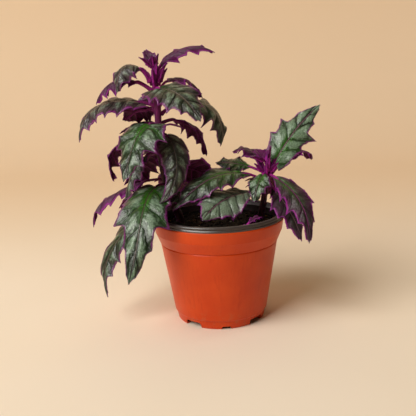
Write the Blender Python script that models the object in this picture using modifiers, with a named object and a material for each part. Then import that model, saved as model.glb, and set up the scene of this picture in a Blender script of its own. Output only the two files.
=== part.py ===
# Potted purple passion plant: two leafy stems in a thin, two-coloured nursery pot.
# The pot stands on the floor. Its axis is Z, and the middle of its base is the origin.
# Sizes here are millimetres and degrees; MM turns millimetres into Blender's metres.
# The front of the plant faces -Y. A turn of 0 points along +X and a turn of 90 along +Y.

import math

import bmesh
import bpy
import numpy as np

MM = 0.001
OBJECT_NAME = "potted_purple_passion_plant"

# Gaps kept between separate pieces
GAP = 0.3
FOOT_GAP = 0.5           # between a leaf stalk's foot and its stem

# Pot: a 108 mm nursery pot formed from one thin sheet
COLLAR_RADIUS = 54.2
SHEET = 1.2
TURNED_STEPS = 32        # flats round the pot and the soil
POT_OUTLINE = (          # radius and height down the outside, from the lip to the middle of the base
    (50.6, 89.3), (51.8, 89.6), (53.0, 89.0), (53.4, 87.6), (53.0, 85.3),
    (COLLAR_RADIUS, 84.6), (52.7, 75.2), (48.8, 66.4), (38.8, 7.0), (37.6, 6.2),
    (36.6, 0.6), (35.9, 0.0), (31.8, 0.0), (31.0, 5.4), (30.2, 6.0),
    (17.4, 6.0), (16.4, 5.4), (15.2, 0.0), (0.0, 0.0))
FLOOR_TOP = 6.0 + SHEET  # inside height of the raised ring of the floor

# Openings in the foot and the floor of the pot
FIRST_ARCH_TURN = -78.0  # heading of the small arch near the front
WIDE_GAP = (15.0, 5.2)   # width and height
SMALL_ARCH = (6.4, 3.2)
FOOT_RING_RADIUS = 34.0
DRAIN_RING_RADIUS = 23.8
DRAIN_RADIUS = 3.6

# Soil
SOIL_LEVEL = 79.0
SOIL_BUMP = 1.1
SOIL_RADIUS = 51.7       # at the soil's surface
SOIL_SIDE = (            # follows the inside of the pot, a gap away from it
    (51.0, 75.2), (47.2, 66.5), (36.9, 7.6), (16.9, 7.6), (15.0, 6.4), (13.8, 1.5), (0, 1.5))
SOIL_RINGS = (0.16, 0.32, 0.5, 0.68, 0.85, 1.0)
ROOT_END = 52.0          # height of the stems' lower ends, inside the soil

# Stems: centre line from the root end to the tip, and the radius at each of these ends
STEM_BEVEL = 3           # gives ten sides
HOLE_SIDES = 12
TALL_STEM = dict(name="stem_tall", radius=(3.4, 2.5), line=(
    (-32, 5, ROOT_END), (-32, 5, 84), (-36, 4, 94), (-42, 2, 112), (-45, 1, 135),
    (-46, 0, 155), (-46, 0, 176), (-47, 0, 196), (-47, 0, 203)))
SHORT_STEM = dict(name="stem_short", radius=(2.9, 2.3), line=(
    (36, 7, ROOT_END), (36, 7, 84), (38, 5, 94), (40, 2, 110), (41, 0, 126)))
BASAL_STEM = dict(name="stem_basal", radius=(1.5, 1.2), line=(
    (20, -33, 62), (20, -33, 81), (20.5, -34, 86)))
STEMS = (TALL_STEM, SHORT_STEM, BASAL_STEM)

# Leaves
BLADE_THICKNESS = 0.8
STALK_THICKNESS = 2.2
STALK_WIDTH = 2.4
YOUNG_SCALE = 0.6        # thickness of a shoot tip's stalks against a grown leaf's
COLUMNS = 4              # strips across a blade, two on each side of the midrib
SPINE_STEPS = 48
POINT_AT = 0.7           # place of a tooth's point between its two notches

BUD_LENGTH = 9.0
BUD_RADIUS = 1.9


def leaf(name, stem, height, length, width, stalk, turn, rise, **more):
    # height of the foot on the stem, whole length, width of the blade, length of the stalk,
    # then heading and slope at even steps along the midrib
    shape = dict(roll=(0,), swing=(0,), fold=(-10,), teeth=5, cut=0.3, heart=0.05,
                 peak=0.38, taper=1.1, crowd=1.1, wave=1.2, waves=2.3, hook=1.0, seed=1,
                 sizes=None)
    shape.update(name=name, stem=stem, height=height, length=length, width=width,
                 stalk=stalk, turn=turn, rise=rise)
    shape.update(more)
    return shape


TALL_LEAVES = [
    leaf("leaf_a01", TALL_STEM, 201, 60, 15, 8, (70, 5, -5, -5), (76, 34, 4, -36),
         roll=(15, 35, 35, 15), fold=(-28,), cut=0.4, seed=1),
    leaf("leaf_a02", TALL_STEM, 198, 49, 25, 11, (-168, -148, -134), (74, 24, -58, -90),
         roll=(-15,), fold=(-20,), seed=3),
    leaf("leaf_a03", TALL_STEM, 191, 56, 20, 12, (180, 180, 182), (42, 12, -36, -75),
         roll=(-15,), fold=(-25,), cut=0.5, seed=4),
    leaf("leaf_a04", TALL_STEM, 192, 63, 33, 5, (-72, -42, -40), (8, -8, -38, -55),
         roll=(14, 22), fold=(-10,), heart=0.75, cut=0.22, teeth=6, seed=5),
    leaf("leaf_a05", TALL_STEM, 188, 57, 20, 14, (68, 42, 24, 16), (48, 18, -34, -70),
         fold=(-20,), seed=7),
    leaf("leaf_a06", TALL_STEM, 179, 80, 32, 10, (180, 182, 186), (18, 0, -42, -92),
         roll=(-14, -20), cut=0.3, heart=0.3, teeth=6, seed=8),
    leaf("leaf_a07", TALL_STEM, 181, 54, 26, 12, (98, 95, 90), (22, -8, -42),
         fold=(-12,), seed=33),
    leaf("leaf_a08", TALL_STEM, 175, 31, 28, 4, (150, 150), (20, -22, -45), heart=0.4, seed=9),
    leaf("leaf_a09", TALL_STEM, 172, 80, 34, 15, (30, 8, -5), (38, -2, -60, -112),
         roll=(10, 30), fold=(-15,), cut=0.45, seed=6),
    leaf("leaf_a10", TALL_STEM, 164, 64, 16, 12, (42, 37, 27), (20, -18, -56, -86),
         roll=(-20,), fold=(-30,), cut=0.5, seed=12),
    leaf("leaf_a11", TALL_STEM, 163, 67, 40, 8, (-115, -123, -130), (25, -30, -62, -66),
         heart=0.45, cut=0.4, seed=10),
    leaf("leaf_a12", TALL_STEM, 163, 48, 32, 9, (128, 134, 138), (18, -22, -60),
         fold=(-12,), seed=35),
    leaf("leaf_a13", TALL_STEM, 156, 72, 27, 9, (-56, -63, -66), (12, -42, -66, -73, -75),
         roll=(4,), swing=(0, 0, -8, -30, -58), fold=(-15,), heart=0.4, teeth=6, cut=0.25,
         peak=0.28, seed=11,
         sizes=((0.4, 0.4, 0.4, 0.4, 0.4, 0.4), (0.8, 0.9, 1.1, 0.8, 0.8, 0.5))),
    leaf("leaf_a14", TALL_STEM, 150, 70, 17, 14, (160, 165, 170), (8, -8, -68, -118),
         roll=(20,), fold=(-30,), cut=0.5, seed=13),
    leaf("leaf_a15", TALL_STEM, 148, 66, 32, 12, (92, 94, 92), (5, -28, -62),
         fold=(-12,), seed=34),
    leaf("leaf_a16", TALL_STEM, 140, 62, 30, 12, (130, 128, 125), (0, -32, -70),
         fold=(-12,), seed=36),
    leaf("leaf_a17", TALL_STEM, 141, 52, 20, 10, (-146, -154), (4, -38, -70, -75),
         fold=(-15,), seed=15),
    leaf("leaf_a18", TALL_STEM, 138, 28, 22, 7, (68, 70), (12, -45, -70), teeth=4, seed=17),
    leaf("leaf_a19", TALL_STEM, 127, 46, 32, 10, (25, 16), (12, -22, -48),
         roll=(-45,), cut=0.12, seed=21),
    leaf("leaf_a20", TALL_STEM, 122, 70, 34, 14, (80, 78, 76), (0, -30, -65),
         fold=(-12,), seed=37),
    leaf("leaf_a21", TALL_STEM, 118, 78, 16, 14, (180, 182), (0, -20, -38, -98),
         roll=(-10,), fold=(-25,), seed=14),
    leaf("leaf_a22", TALL_STEM, 114, 106, 38, 12, (-115, -100, -104), (12, -27, -61, -76),
         swing=(0, 0, -4, -14), fold=(-8,), cut=0.36, heart=0.45, peak=0.4, taper=1.4, crowd=1.25, seed=18,
         sizes=((0.3, 0.7, 1.3, 0.5, 0.4), (0.3, 0.5, 1.2, 0.5, 0.4))),
    leaf("leaf_a23", TALL_STEM, 110, 28, 22, 8, (-58, -66), (8, -20, -45), teeth=4, seed=20),
    leaf("leaf_a24", TALL_STEM, 108, 78, 34, 12, (140, 140, 145), (10, -20, -60, -75),
         fold=(-12,), seed=38),
    leaf("leaf_a25", TALL_STEM, 96, 104, 26, 12, (-172, -165, -162), (-8, -38, -62, -92),
         roll=(-6, -18, -22), fold=(-12,), teeth=6, seed=19),
]

SHORT_LEAVES = [
    leaf("leaf_b01", SHORT_STEM, 123, 73, 24, 6, (34, 34, 28), (54, 43, 30),
         roll=(45, 45), fold=(-8,), cut=0.38, heart=0.45, peak=0.28, taper=1.0, seed=22,
         sizes=((0.3, 0.5, 1.6, 0.5, 0.5), (0.8, 0.9, 1.4, 0.4, 0.4))),
    leaf("leaf_b02", SHORT_STEM, 117, 54, 17, 15, (32, 28), (42, 37, 3, -78),
         fold=(-12,), teeth=4, seed=23),
    leaf("leaf_b03", SHORT_STEM, 120, 76, 24, 8, (-54, -57, -62), (-8, -27, -54, -84),
         roll=(25, 18, 10), swing=(0, 0, -8), fold=(-12,), peak=0.35, seed=24),
    leaf("leaf_b04", SHORT_STEM, 122, 40, 20, 11, (165, 170, 174), (30, 15, 0),
         roll=(-5, -8), fold=(-6,), cut=0.2, seed=40),
    leaf("leaf_b05", SHORT_STEM, 124, 38, 21, 7, (118, 148, 162), (60, 28, -42),
         fold=(-12,), teeth=4, seed=29),
    leaf("leaf_b06", SHORT_STEM, 121, 34, 19, 5, (-112, -125), (12, -44, -75),
         cut=0.15, teeth=4, seed=26),
    leaf("leaf_b07", SHORT_STEM, 115, 88, 30, 15, (-162, -152, -146, -149), (34, 0, -28, -43),
         roll=(-6, -12, -20), heart=0.15, peak=0.36, teeth=6, seed=27,
         sizes=((0.3, 0.3, 0.3, 0.3, 0.3, 0.3), (0.5, 0.7, 0.9, 0.8, 0.5, 0.4))),
    leaf("leaf_b08", SHORT_STEM, 113, 60, 19, 8, (-60, -56, -54), (-26, -42, -70),
         fold=(-15,), seed=25),
    leaf("leaf_b09", SHORT_STEM, 112, 66, 34, 12, (85, 80, 80), (15, -20, -65),
         fold=(-12,), seed=39),
    leaf("leaf_b10", SHORT_STEM, 105, 68, 33, 12, (-152, -141, -138), (10, -8, -36),
         roll=(-8, -28, -46), fold=(-8,), cut=0.1, peak=0.5, teeth=6, seed=28),
    leaf("leaf_b11", SHORT_STEM, 106, 62, 30, 12, (30, 35, 40), (0, -38, -72),
         fold=(-12,), seed=41),
]

BASAL_LEAVES = [
    leaf("leaf_low", BASAL_STEM, 85, 15, 8, 3, (30, 20), (55, 20, -10),
         fold=(10,), teeth=3, wave=0.6, seed=42),
]

# Young leaves that stand round the bud of each shoot and are grown together with it
YOUNG = dict(teeth=3, cut=0.3, heart=0.35, wave=0.3, hook=0.3)
TALL_TIP = dict(name="tip_tall", stem=TALL_STEM, leaves=[
    leaf("young_a1", TALL_STEM, 0, 18, 12, 4, (172, 172), (78, 52), roll=(-60,), fold=(12,),
         seed=2, **YOUNG),
    leaf("young_a2", TALL_STEM, 0, 14, 7, 4, (20, 20), (80, 66), fold=(25,), seed=51, **YOUNG),
    leaf("young_a3", TALL_STEM, 0, 13, 8, 4, (-95, -95), (74, 48), fold=(15,), seed=52, **YOUNG),
    leaf("young_a4", TALL_STEM, 0, 17, 8, 4, (-158, -158), (58, 26), fold=(15,), seed=53, **YOUNG),
])
SHORT_TIP = dict(name="tip_short", stem=SHORT_STEM, leaves=[
    leaf("young_b1", SHORT_STEM, 0, 21, 13, 5, (118, 118), (70, 50), fold=(16,), seed=30, **YOUNG),
    leaf("young_b2", SHORT_STEM, 0, 16, 9, 4, (-160, -160), (45, 5), fold=(16,), seed=31, **YOUNG),
    leaf("young_b3", SHORT_STEM, 0, 15, 7, 4, (10, 10), (80, 68), fold=(25,), seed=54, **YOUNG),
])
TIPS = (TALL_TIP, SHORT_TIP)


def smooth(values, s):
    # smooth curve through evenly spaced values, read at s between 0 and 1
    values = np.asarray(values, float)
    if len(values) == 1:
        return np.full_like(s, values[0])
    if len(values) == 2:
        return values[0] + (values[1] - values[0]) * s
    values = np.concatenate([[2 * values[0] - values[1]], values, [2 * values[-1] - values[-2]]])
    x = np.clip(s, 0, 1) * (len(values) - 3)
    i = np.minimum(x.astype(int), len(values) - 4)
    f = x - i
    a, b, c, d = values[i], values[i + 1], values[i + 2], values[i + 3]
    return 0.5 * (2 * b + (c - a) * f + (2 * a - 5 * b + 4 * c - d) * f ** 2
                  + (3 * b - a - 3 * c + d) * f ** 3)


def stem_point(stem, height):
    line = np.array(stem["line"], float)
    return np.array([np.interp(height, line[:, 2], line[:, 0]),
                     np.interp(height, line[:, 2], line[:, 1]), height])


def stem_radius(stem, height):
    heights = [stem["line"][0][2], stem["line"][-1][2]]
    return float(np.interp(height, heights, stem["radius"]))


def leaf_foot(shape):
    # the foot stands off the stem's side by the gap, whatever its slope and roll
    turn = math.radians(shape["turn"][0])
    rise = math.radians(shape["rise"][0])
    reach = stem_radius(shape["stem"], shape["height"]) + FOOT_GAP
    roll = math.radians(shape["roll"][0])
    reach += abs(math.sin(rise)) * (STALK_THICKNESS * abs(math.cos(roll))
                                    + STALK_WIDTH * abs(math.sin(roll))) / 2
    out = np.array([math.cos(turn), math.sin(turn), 0])
    return stem_point(shape["stem"], shape["height"]) + out * reach


def spine(shape):
    # midrib points from the foot, with the directions across and out of the blade
    s = np.linspace(0, 1, SPINE_STEPS + 1)
    rise = np.radians(smooth(shape["rise"], s))
    turn = np.radians(smooth(shape["turn"], s))
    roll = np.radians(smooth(shape["roll"], s))[:, None]
    swing = np.radians(smooth(shape["swing"], s))[:, None]
    along = np.stack([np.cos(rise) * np.cos(turn), np.cos(rise) * np.sin(turn), np.sin(rise)], 1)
    level = np.stack([-np.sin(turn), np.cos(turn), 0 * turn], 1)
    above = np.cross(along, level)
    across = level * np.cos(roll) + above * np.sin(roll)
    out = above * np.cos(roll) - level * np.sin(roll)
    along, across = (along * np.cos(swing) + across * np.sin(swing),
                     across * np.cos(swing) - along * np.sin(swing))
    steps = (along[1:] + along[:-1]) / 2 * shape["length"] / SPINE_STEPS
    points = np.concatenate([np.zeros((1, 3)), np.cumsum(steps, 0)])
    return s, points, across, out


def read_spine(line, s):
    places, *tracks = line
    s = np.clip(s, 0, 1)
    return [np.stack([np.interp(s, places, track[:, i]) for i in range(3)], -1) for track in tracks]


def body_width(shape, t):
    # half width of the smooth outline, as a share of the widest place
    peak, base = shape["peak"], shape["heart"]
    rising = base + (1 - base) * np.sin(np.pi / 2 * np.clip(t / peak, 0, 1)) ** 0.8
    falling = np.cos(np.pi / 2 * np.clip((t - peak) / (1 - peak), 0, 1)) ** shape["taper"]
    return np.clip(np.where(t < peak, rising, falling), 0.02, 1)


def tooth_height(shape, q, v):
    # q counts teeth along the blade; each rises slowly to a point and drops to the next notch
    sizes = 0.65 + 0.7 * np.random.RandomState(shape["seed"]).rand(2, shape["teeth"] + 2)
    if shape["sizes"]:
        sizes = np.array(shape["sizes"])
    size = sizes[np.where(v > 0, 1, 0), np.minimum(q.astype(int), sizes.shape[1] - 1)]
    f = q - np.floor(q)
    saw = np.where(f < POINT_AT, (f / POINT_AT) ** 2, ((1 - f) / (1 - POINT_AT)) ** 1.3)
    return saw * size


def blade_points(shape, line, q, v):
    # points of the blade's middle surface, v from -1 to 1 across it
    t = (q / shape["teeth"]) ** shape["crowd"]
    fade = np.clip(t / 0.12, 0, 1) * np.clip((1 - t) / 0.1, 0, 1)
    edge = np.clip((np.abs(v) - 0.45) / 0.55, 0, 1)
    tooth = tooth_height(shape, q, v) * fade * edge
    half = shape["width"] / 2
    width = np.abs(v) * half * body_width(shape, t)
    width = width + half * shape["cut"] * body_width(shape, t) ** 0.5 * (tooth - 0.25 * fade * edge)
    width = np.maximum(width, np.abs(v) * (1.1 - 0.4 * t))
    stalk = shape["stalk"] / shape["length"]
    lean = 0.18 * tooth / shape["teeth"]
    back = min(0.35 * shape["heart"] * (1 - stalk), 0.7 * stalk) * np.clip(1 - t / 0.3, 0, 1) * v * v
    centre, across, out = read_spine(line, stalk + (1 - stalk) * (t + lean) - back)
    fold = np.radians(smooth(shape["fold"], t))
    phase = shape["waves"] * t + np.where(v > 0, 0.2, 0.65) + shape["seed"] * 0.37
    calm = np.clip(t / 0.2, 0, 1) * np.clip((1 - t) / 0.15, 0, 1)
    lift = shape["wave"] * np.sin(2 * np.pi * phase) * v * v * calm - shape["hook"] * tooth
    side = (np.sign(v) * width * np.cos(fold))[..., None]
    up = (width * np.sin(fold) + lift)[..., None]
    return centre + across * side + out * up


def stalk_points(shape, line, s, v):
    centre, across, _ = read_spine(line, s * shape["stalk"] / shape["length"])
    return centre + across * (v * STALK_WIDTH / 2 * shape.get("scale", 1))[..., None]


def blade_rows(shape):
    # a row at every notch and at every tooth's point
    notches = np.arange(shape["teeth"] + 1)
    return np.sort(np.concatenate([notches, np.arange(shape["teeth"]) + POINT_AT]))


def new_object(name, mesh, collection):
    obj = bpy.data.objects.new(name, mesh)
    collection.objects.link(obj)
    return obj


def leaf_object(shape, collection, foot):
    # a flat grid is bent into the stalk and the toothed blade, then given its thickness
    line = spine(shape)
    stalk_rows = (0.0, 0.25)
    rows = blade_rows(shape)
    count = len(stalk_rows) + len(rows)
    bm = bmesh.new()
    bmesh.ops.create_grid(bm, x_segments=COLUMNS, y_segments=count - 1, size=1)
    thick = []
    for vert in bm.verts:
        v = np.array([-vert.co.x])
        row = round((vert.co.y + 1) / 2 * (count - 1))
        if row < len(stalk_rows):
            point = stalk_points(shape, line, np.array([stalk_rows[row]]), v)[0]
            thick.append(STALK_THICKNESS)
        else:
            q = np.array([rows[row - len(stalk_rows)]])
            point = blade_points(shape, line, q, v)[0]
            off_rib = np.linalg.norm(point - blade_points(shape, line, q, v * 0)[0])
            rib = max(0, 1 - off_rib / 1.5) * (1 - q[0] / shape["teeth"]) ** 2
            thick.append(BLADE_THICKNESS + (STALK_THICKNESS - BLADE_THICKNESS) * 0.7 * rib)
        vert.co = point * MM
    bmesh.ops.triangulate(bm, faces=bm.faces[:])
    mesh = bpy.data.meshes.new(shape["name"])
    bm.to_mesh(mesh)
    bm.free()
    obj = new_object(shape["name"], mesh, collection)
    obj.location = [value * MM for value in foot]
    group = obj.vertex_groups.new(name="thickness")
    for index, value in enumerate(thick):
        group.add([index], value / STALK_THICKNESS, "REPLACE")
    solid = obj.modifiers.new("thickness", "SOLIDIFY")
    solid.thickness = STALK_THICKNESS * shape.get("scale", 1) * MM
    solid.offset = 0
    solid.vertex_group = group.name
    return obj


def turned_object(name, outline, collection):
    # an outline turned all the way round the Z axis
    bm = bmesh.new()
    verts = [bm.verts.new((r * MM, 0, z * MM)) for r, z in outline]
    for first, second in zip(verts, verts[1:]):
        bm.edges.new((first, second))
    mesh = bpy.data.meshes.new(name)
    bm.to_mesh(mesh)
    bm.free()
    obj = new_object(name, mesh, collection)
    screw = obj.modifiers.new("turn", "SCREW")
    screw.axis = "Z"
    screw.angle = 2 * math.pi
    screw.steps = screw.render_steps = TURNED_STEPS
    screw.use_merge_vertices = True
    screw.merge_threshold = 0.0001
    return obj


def apply_modifiers(obj):
    evaluated = obj.evaluated_get(bpy.context.evaluated_depsgraph_get())
    mesh = bpy.data.meshes.new_from_object(evaluated)
    obj.modifiers.clear()
    obj.data = mesh
    return obj


def tube_object(name, points, radii, collection):
    # a round rod along a line, with closed ends, as a mesh
    curve = bpy.data.curves.new(name, "CURVE")
    curve.dimensions = "3D"
    curve.bevel_depth = MM
    curve.bevel_resolution = STEM_BEVEL
    curve.use_fill_caps = True
    track = curve.splines.new("POLY")
    track.points.add(len(points) - 1)
    for spot, point, radius in zip(track.points, points, radii):
        spot.co = (point[0] * MM, point[1] * MM, point[2] * MM, 1)
        spot.radius = radius
    rod = new_object(name + "_line", curve, collection)
    evaluated = rod.evaluated_get(bpy.context.evaluated_depsgraph_get())
    mesh = bpy.data.meshes.new_from_object(evaluated)
    bpy.data.objects.remove(rod)
    bm = bmesh.new()
    bm.from_mesh(mesh)
    bmesh.ops.remove_doubles(bm, verts=bm.verts[:], dist=0.00001)
    bm.to_mesh(mesh)
    bm.free()
    return new_object(name, mesh, collection)


def make_guide(obj):
    obj.hide_render = True
    obj.display_type = "WIRE"


def cylinder_cutter(name, x, y, low, high, radius, collection, sides=12):
    bm = bmesh.new()
    bmesh.ops.create_cone(bm, cap_ends=True, segments=sides, radius1=radius * MM,
                          radius2=radius * MM, depth=(high - low) * MM)
    mesh = bpy.data.meshes.new(name)
    bm.to_mesh(mesh)
    bm.free()
    obj = new_object(name, mesh, collection)
    obj.location = (x * MM, y * MM, (low + high) / 2 * MM)
    make_guide(obj)
    return obj


def foot_cutter(name, turn, width, height, collection):
    # a block across the foot ring, with its upper corners rounded into an arch
    bm = bmesh.new()
    bmesh.ops.create_cube(bm, size=1)
    for vert in bm.verts:
        vert.co.x *= 14 * MM
        vert.co.y *= width * MM
        vert.co.z = (height if vert.co.z > 0 else -2) * MM
    top = [edge for edge in bm.edges
           if all(vert.co.z > 0 for vert in edge.verts)
           and abs(edge.verts[0].co.y - edge.verts[1].co.y) < MM]
    bmesh.ops.bevel(bm, geom=top, offset=height * 0.45 * MM, segments=2, profile=0.5,
                    affect="EDGES")
    mesh = bpy.data.meshes.new(name)
    bm.to_mesh(mesh)
    bm.free()
    obj = new_object(name, mesh, collection)
    heading = math.radians(turn)
    obj.location = (FOOT_RING_RADIUS * math.cos(heading) * MM,
                    FOOT_RING_RADIUS * math.sin(heading) * MM, 0)
    obj.rotation_euler = (0, 0, heading)
    make_guide(obj)
    return obj


def cut_with(obj, cutters):
    cut = obj.modifiers.new("openings", "BOOLEAN")
    cut.operation = "DIFFERENCE"
    cut.operand_type = "COLLECTION"
    cut.collection = cutters
    cut.solver = "EXACT"


def make_pot(collection, cutters):
    pot = turned_object("pot", POT_OUTLINE, collection)
    wall = pot.modifiers.new("sheet", "SOLIDIFY")
    wall.thickness = SHEET * MM
    wall.offset = -1
    wall.use_even_offset = True
    for i in range(4):
        arch_turn = FIRST_ARCH_TURN + 90 * i
        gap_turn = arch_turn + 45
        foot_cutter("small_arch_%d" % i, arch_turn, *SMALL_ARCH, cutters)
        foot_cutter("wide_gap_%d" % i, gap_turn, *WIDE_GAP, cutters)
        heading = math.radians(gap_turn)
        cylinder_cutter("drain_%d" % i, DRAIN_RING_RADIUS * math.cos(heading),
                        DRAIN_RING_RADIUS * math.sin(heading), FLOOR_TOP - 3, FLOOR_TOP + 2,
                        DRAIN_RADIUS, cutters)
    cut_with(pot, cutters)
    return pot


def soil_height(x, y):
    # lumps of the loose surface, in millimetres
    coarse = math.sin(x / 6.1 + 0.7) * math.cos(y / 7.3 - 0.4)
    fine = math.sin(x / 2.9 + y / 3.7)
    return SOIL_BUMP * (0.6 * coarse + 0.4 * fine)


def make_soil(collection, cutters):
    outline = [(0, SOIL_LEVEL)]
    outline += [(SOIL_RADIUS * share, SOIL_LEVEL) for share in SOIL_RINGS]
    outline += SOIL_SIDE
    soil = apply_modifiers(turned_object("soil", outline, collection))
    for vert in soil.data.vertices:
        x, y, z = vert.co / MM
        if z > SOIL_LEVEL - 0.1 and math.hypot(x, y) < SOIL_RADIUS - 1:
            vert.co.z += soil_height(x, y) * MM
    for stem in STEMS:
        x, y, low = stem["line"][0]
        cylinder_cutter("hole_" + stem["name"], x, y, low - GAP, SOIL_LEVEL + 6,
                        (stem["radius"][0] + GAP) / math.cos(math.pi / HOLE_SIDES), cutters,
                        HOLE_SIDES)
    cut_with(soil, cutters)
    return soil


def make_stem(stem, collection):
    points = stem["line"]
    radii = [stem_radius(stem, point[2]) for point in points]
    return tube_object(stem["name"], points, radii, collection)


def make_tip(tip, collection, pieces):
    # a pointed bud on the end of the shoot, with its young leaves grown from it
    top = np.array(tip["stem"]["line"][-1], float)
    bm = bmesh.new()
    bmesh.ops.create_uvsphere(bm, u_segments=8, v_segments=6, radius=1)
    for vert in bm.verts:
        vert.co.x *= BUD_RADIUS * MM
        vert.co.y *= BUD_RADIUS * MM
        vert.co.z = (vert.co.z + 1) * BUD_LENGTH / 2 * MM
    mesh = bpy.data.meshes.new(tip["name"])
    bm.to_mesh(mesh)
    bm.free()
    bud = new_object(tip["name"], mesh, collection)
    bud.location = [top[0] * MM, top[1] * MM, (top[2] + GAP) * MM]
    for shape in tip["leaves"]:
        shape = dict(shape, scale=YOUNG_SCALE)
        young = leaf_object(shape, pieces, top + np.array([0, 0, GAP + BUD_LENGTH * 0.25]))
        make_guide(young)
    join = bud.modifiers.new("grown together", "BOOLEAN")
    join.operation = "UNION"
    join.operand_type = "COLLECTION"
    join.collection = pieces
    join.solver = "EXACT"
    mesh = bpy.data.meshes.new_from_object(
        bud.evaluated_get(bpy.context.evaluated_depsgraph_get()))
    bud.modifiers.clear()
    bud.data = mesh
    for piece in list(pieces.objects):
        bpy.data.objects.remove(piece)
    bpy.data.collections.remove(pieces)
    return bud


def material(name, color, roughness, metallic=0.0):
    finish = bpy.data.materials.new(name)
    finish.use_nodes = True
    shader = finish.node_tree.nodes["Principled BSDF"]
    shader.inputs["Base Color"].default_value = (*color, 1)
    shader.inputs["Roughness"].default_value = roughness
    shader.inputs["Metallic"].default_value = metallic
    return finish


def dress(obj, finish, sharp=None):
    obj.data.materials.clear()
    obj.data.materials.append(finish)
    if sharp is not None:
        obj.data.shade_smooth()
        obj.data.set_sharp_from_angle(angle=math.radians(sharp))


def new_collection(name):
    collection = bpy.data.collections.new(name)
    bpy.context.scene.collection.children.link(collection)
    return collection


def main():
    for obj in list(bpy.data.objects):
        bpy.data.objects.remove(obj)
    parts = new_collection(OBJECT_NAME)

    terracotta = material("terracotta_plastic", (0.72, 0.20, 0.09), 0.38)
    potting_soil = material("potting_soil", (0.03, 0.022, 0.018), 0.95)
    stem_skin = material("stem_skin", (0.24, 0.03, 0.20), 0.7)
    leaf_skin = material("leaf_skin", (0.09, 0.15, 0.09), 0.6)
    young_skin = material("young_skin", (0.30, 0.04, 0.30), 0.65)

    dress(make_pot(parts, new_collection("pot_cutters")), terracotta)
    dress(make_soil(parts, new_collection("soil_cutters")), potting_soil)
    for stem in STEMS:
        dress(make_stem(stem, parts), stem_skin, sharp=50)
    for shape in TALL_LEAVES + SHORT_LEAVES + BASAL_LEAVES:
        dress(leaf_object(shape, parts, leaf_foot(shape)), leaf_skin)
    for tip in TIPS:
        dress(make_tip(tip, parts, new_collection(tip["name"] + "_pieces")), young_skin)


main()
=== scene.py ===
# Potted purple passion plant: velvety, toothed leaves on two stems, in a two-coloured nursery pot.
# Sizes in the dictionaries are millimetres and degrees. The plant's front faces -Y.

import math

import bpy
import numpy as np
from mathutils import Matrix, Vector, noise


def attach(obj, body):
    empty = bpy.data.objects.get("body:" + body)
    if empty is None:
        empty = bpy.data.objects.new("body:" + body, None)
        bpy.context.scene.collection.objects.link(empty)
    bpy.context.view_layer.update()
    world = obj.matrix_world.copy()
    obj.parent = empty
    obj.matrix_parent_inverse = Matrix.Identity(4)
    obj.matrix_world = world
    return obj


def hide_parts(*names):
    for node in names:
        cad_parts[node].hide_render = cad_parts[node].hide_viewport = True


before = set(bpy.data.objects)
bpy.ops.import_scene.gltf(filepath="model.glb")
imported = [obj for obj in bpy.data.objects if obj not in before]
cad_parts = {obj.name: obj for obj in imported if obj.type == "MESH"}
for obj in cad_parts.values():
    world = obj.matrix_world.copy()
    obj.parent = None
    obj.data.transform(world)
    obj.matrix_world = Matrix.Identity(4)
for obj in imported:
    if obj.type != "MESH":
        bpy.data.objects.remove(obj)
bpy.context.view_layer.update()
print("frame loaded:", len(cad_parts), "nodes")

mm = 0.001


# Small helpers

def deselectAll():
    bpy.ops.object.select_all(action="DESELECT")


def pick(*pieces):
    # the last one is active
    deselectAll()
    for piece in pieces:
        piece.select_set(True)
        bpy.context.view_layer.objects.active = piece


def newest(name):
    piece = bpy.context.object
    piece.name = name
    piece.data.name = name
    return piece


def editOn():
    bpy.ops.object.mode_set(mode="EDIT")


def editOff():
    bpy.ops.object.mode_set(mode="OBJECT")


def clearChoice():
    # nothing selected in the mesh, with edges to be picked next
    editOn()
    bpy.ops.mesh.select_mode(type="EDGE")
    bpy.ops.mesh.select_all(action="DESELECT")
    editOff()


def closeSeams(gap):
    # points closer than the gap become one, and all faces turn outwards
    editOn()
    bpy.ops.mesh.select_all(action="SELECT")
    bpy.ops.mesh.remove_doubles(threshold=gap * mm)
    bpy.ops.mesh.normals_make_consistent(inside=False)
    editOff()


def applyModifier(piece, kind, **settings):
    pick(piece)
    modifier = piece.modifiers.new(kind.lower(), kind)
    for key, value in settings.items():
        setattr(modifier, key, value)
    bpy.ops.object.modifier_apply(modifier=modifier.name)


def joinPieces(first, others):
    pick(*others, first)
    bpy.ops.object.join()
    return first


def pointsOf(piece):
    flat = np.empty(len(piece.data.vertices) * 3)
    piece.data.vertices.foreach_get("co", flat)
    return flat.reshape(-1, 3) / mm


def movePoints(piece, points):
    piece.data.vertices.foreach_set("co", (np.asarray(points) * mm).ravel())
    piece.data.update()


def writeNumbers(piece, name, values):
    track = piece.data.attributes.new(name, "FLOAT", "POINT")
    count = len(piece.data.vertices)
    track.data.foreach_set("value", np.broadcast_to(values, count).astype(np.float32))


def finishPiece(piece, slot, *nodes):
    pick(piece)
    bpy.ops.object.transform_apply(location=True, rotation=True, scale=True)
    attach(piece, "root")
    if nodes:
        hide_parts(*nodes)
    return piece


def unit(vectors):
    # the same directions, each one long
    return vectors / np.maximum(np.linalg.norm(vectors, axis=-1, keepdims=True), 1e-9)


def ramp(value, length):
    # 0 up to 0, 1 from the length on
    return np.clip(value / length, 0, 1)


def fall(value, length):
    # 1 at 0, 0 from the length on
    return np.clip(1 - value / length, 0, 1)


def rgb(red, green, blue):
    # screen colour 0-255 to the linear colour that a shader takes
    def linear(value):
        value = value / 255
        return value / 12.92 if value < 0.04045 else ((value + 0.055) / 1.055) ** 2.4
    return (linear(red), linear(green), linear(blue), 1)


# Finishes: a socket that takes part in Python sums, and the material that it belongs to

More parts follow.
